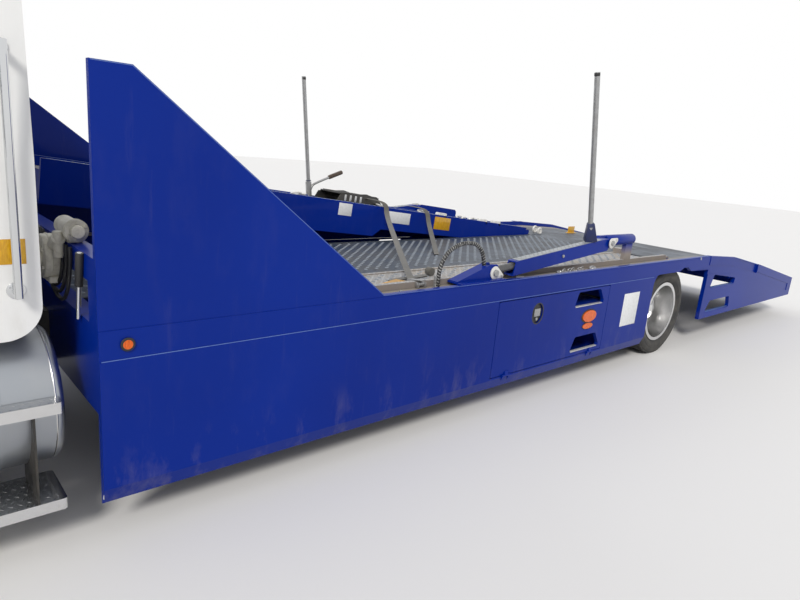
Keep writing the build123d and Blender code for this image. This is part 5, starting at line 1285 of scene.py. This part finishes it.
bezels, faces = [], []
for y, z, radius in dash["dials"]:
    x = onDash(z)
    bezels.append(ring((x - 0.002, y, z), radius, 0.005, (0.0, math.radians(80), 0.0), 36, 8))
    faces.append(rod((x - 0.003, y, z), (x + 0.01, y, z), radius * 0.97, 36))
    faces.append(block((x - 0.004, y + radius * 0.2, z + radius * 0.25), (0.002, 0.003, radius * 0.75), 0.0,
                       (0.7, 0.0, 0.0)))
dress(bezels, "dialBezels", "chassis", "bright_chrome")
dress(faces, "dialFaces", "chassis", "black_plastic")
vents = []
for y, z in dash["vents"]:
    x = onDash(z)
    vents.append(block((x, y, z), (0.012, 0.15, 0.082), 0.004))
    for index in range(4):
        vents.append(block((x - 0.008, y, z - 0.027 + 0.018 * index), (0.014, 0.13, 0.004), 0.001,
                           (0.0, 0.4, 0.0)))
dress(vents, "dashVents", "chassis", "black_plastic")
x, y, z = dash["wheel"]
hubPad = dome((x - 0.012, y, z + 0.011), (0.022, 0.062, 0.062), 28)
stalks = []
for shift in dash["stalks"]:
    route = [(4.16, y + shift * 0.3, 1.56), (4.14, y + shift, 1.585), (4.10, y + shift * 1.7, 1.62)]
    stalks.append(hose(route, 0.006))
dress([hubPad, *stalks], "wheelPad", "chassis", "black_plastic")
print("stage: dashboard")


# Front: wire mesh behind the grille's bars, lamp bowls, bumper edges and a bare plate

front = {"mesh": {"x": 6.079, "half": 0.375, "low": 0.892, "high": 1.358},
         "bowls": [(0.80, 0.915), (0.955, 0.915)], "lips": (0.733, 0.402),
         "plate": {"width": 0.30, "height": 0.15, "z": 0.545, "screws": (0.09, 0.058)}}

bpy.ops.mesh.primitive_grid_add(x_subdivisions=44, y_subdivisions=28, size=1.0)
net = bpy.context.object
sizes = front["mesh"]
net.scale = (2 * sizes["half"], sizes["high"] - sizes["low"], 1.0)
net.rotation_euler = (math.pi / 2, 0.0, math.pi / 2)
net.location = (sizes["x"], 0.0, (sizes["low"] + sizes["high"]) / 2)
applyPlace(net)
applyModifier(net, "WIREFRAME", thickness=0.0035)
dress(net, "grilleMesh", "hood", "black_plastic")

bowls, bulbs = [], []
for title, side, name in sides:
    for y, z in front["bowls"]:
        bowls.append(ring((6.072, side * y, z), 0.058, 0.006, facesX, 36, 8))
        bowls.append(dome((6.018, side * y, z), (0.022, 0.06, 0.06), 28))
        bulbs.append(dome((6.05, side * y, z), (0.016, 0.014, 0.014), 16))
dress(bowls, "headlampBowls", "hood", "bright_chrome")
dress(bulbs, "headlampBulbs", "hood", "lamp_lens", plateWhite)

sizes = front["plate"]
plate = block((6.2742, 0.0, sizes["z"]), (0.0012, sizes["width"], sizes["height"]), 0.0004)
across, above = sizes["screws"]
screws = [peg((6.2738, y, sizes["z"] + z), 0.0011, 0.006, 12, 0.0, 0)
          for y in (-across, across) for z in (-above, above)]
dress([plate, *screws], "frontPlate", "chassis", "cab_white", plateWhite)
lips = [tube([(6.11, 1.185, z), (6.268, 0.905, z), (6.268, -0.905, z), (6.11, -1.185, z)], 0.0045, 2)
        for z in front["lips"]]
dress(lips, "bumperLips", "chassis", "black_plastic")
print("stage: front")


# Tail: slot sills and top edges painted lighter as painted highlights, lamp rims and a reflector on the deck

tail = {"lamps": [(0.82, 0.41), (1.0, 0.41)], "sills": [(-4.04, -3.42, 0.6275), (-4.02, -3.335, 0.3495)],
        "marker": (-3.42, -0.6)}
for title, side, name in sides:
    dress(sillsOf(tail["sills"], side * 1.272), "tailSlotSills" + title, "chassis", "deck_steel", highlightBlue)
    corners = [(x, side * edge["y"], z) for x, z in edge["tailTop"]]
    dress(tube(corners, 0.0032, 2), "tailEdgeHighlight" + title, "chassis", "deck_steel", highlightBlue)
rims = [ring((-6.271, side * y, z), 0.055, 0.0038, facesX, 40, 8)
        for side in (1, -1) for y, z in tail["lamps"]]
dress(rims, "tailLampRims", "chassis", "black_plastic")
marker = joined(block((*tail["marker"], 0.985), (0.14, 0.012, 0.085), 0.002),
                block((*tail["marker"], 0.943), (0.18, 0.05, 0.012), 0.003))
dress(marker, "tailDeckMarker", "chassis", "amber_lens", reflectorYellow)
print("stage: tail")


# Camera at the photograph's place, the studio and its lamps

camera = {
    "place": (3.63, 3.842, 1.826),
    "right": (-0.7473, 0.6587, 0.0870),
    "down": (0.0976, 0.2383, -0.9663),
    "ahead": (-0.6573, -0.7136, -0.2424),
    "lens": 27.18,
}
studio = {
    "floorSize": 90.0,
    "floor": colour(0.80, 0.79, 0.775),
    "sky": {"Color": colour(0.93, 0.95, 1.0), "Strength": 0.62},
    "seen": {"Color": colour(1.0, 1.0, 1.0), "Strength": 1.0},
    "lamps": {
        "key": {"turn": (52, 0, 132), "strength": 2.1, "angle": 14, "tint": (1.0, 0.97, 0.92)},
        "fill": {"turn": (64, 0, 38), "strength": 0.7, "angle": 40, "tint": (0.92, 0.96, 1.0)},
    },
}


def addCamera():
    data = bpy.data.cameras.new("photoCamera")
    data.sensor_width = 36.0
    data.lens = camera["lens"]
    data.clip_end = 200.0
    eye = bpy.data.objects.new("photoCamera", data)
    bpy.context.scene.collection.objects.link(eye)
    right, down, ahead = (Vector(camera[name]) for name in ("right", "down", "ahead"))
    turn = Matrix((right, -down, -ahead)).transposed()
    eye.matrix_world = Matrix.Translation(camera["place"]) @ turn.to_4x4()
    bpy.context.scene.camera = eye


def addStudio():
    bpy.ops.object.select_all(action="DESELECT")
    bpy.ops.mesh.primitive_plane_add(size=studio["floorSize"])
    floor = bpy.context.object
    floor.name = "studioFloor"
    surface = Surface("studioFloor", Base_Color=studio["floor"], Roughness=0.9)
    floor.data.materials.append(surface.material)

    # White where it is seen, directly or in gloss and glass, and a soft light elsewhere
    world = bpy.data.worlds.new("studioSky")
    world.use_nodes = True
    sky = Tree(world.node_tree)
    direct, glossy, through = (sky.add("LightPath", out="Is " + kind + " Ray")
                               for kind in ("Camera", "Glossy", "Transmission"))
    isSeen = sky.largest(sky.largest(direct, glossy), through)
    light, white = sky.add("Background", {}, studio["sky"]), sky.add("Background", {}, studio["seen"])
    sky.show("World", sky.add("MixShader", {}, (isSeen, light, white)))
    bpy.context.scene.world = world

    for name, lamp in studio["lamps"].items():
        data = bpy.data.lights.new(name + "Lamp", "SUN")
        data.energy = lamp["strength"]
        data.angle = math.radians(lamp["angle"])
        data.color = lamp["tint"]
        light = bpy.data.objects.new(name + "Lamp", data)
        light.rotation_euler = [math.radians(turn) for turn in lamp["turn"]]
        bpy.context.scene.collection.objects.link(light)
    bpy.context.scene.view_settings.view_transform = "Standard"


addCamera()
addStudio()
print("stage: camera and studio")
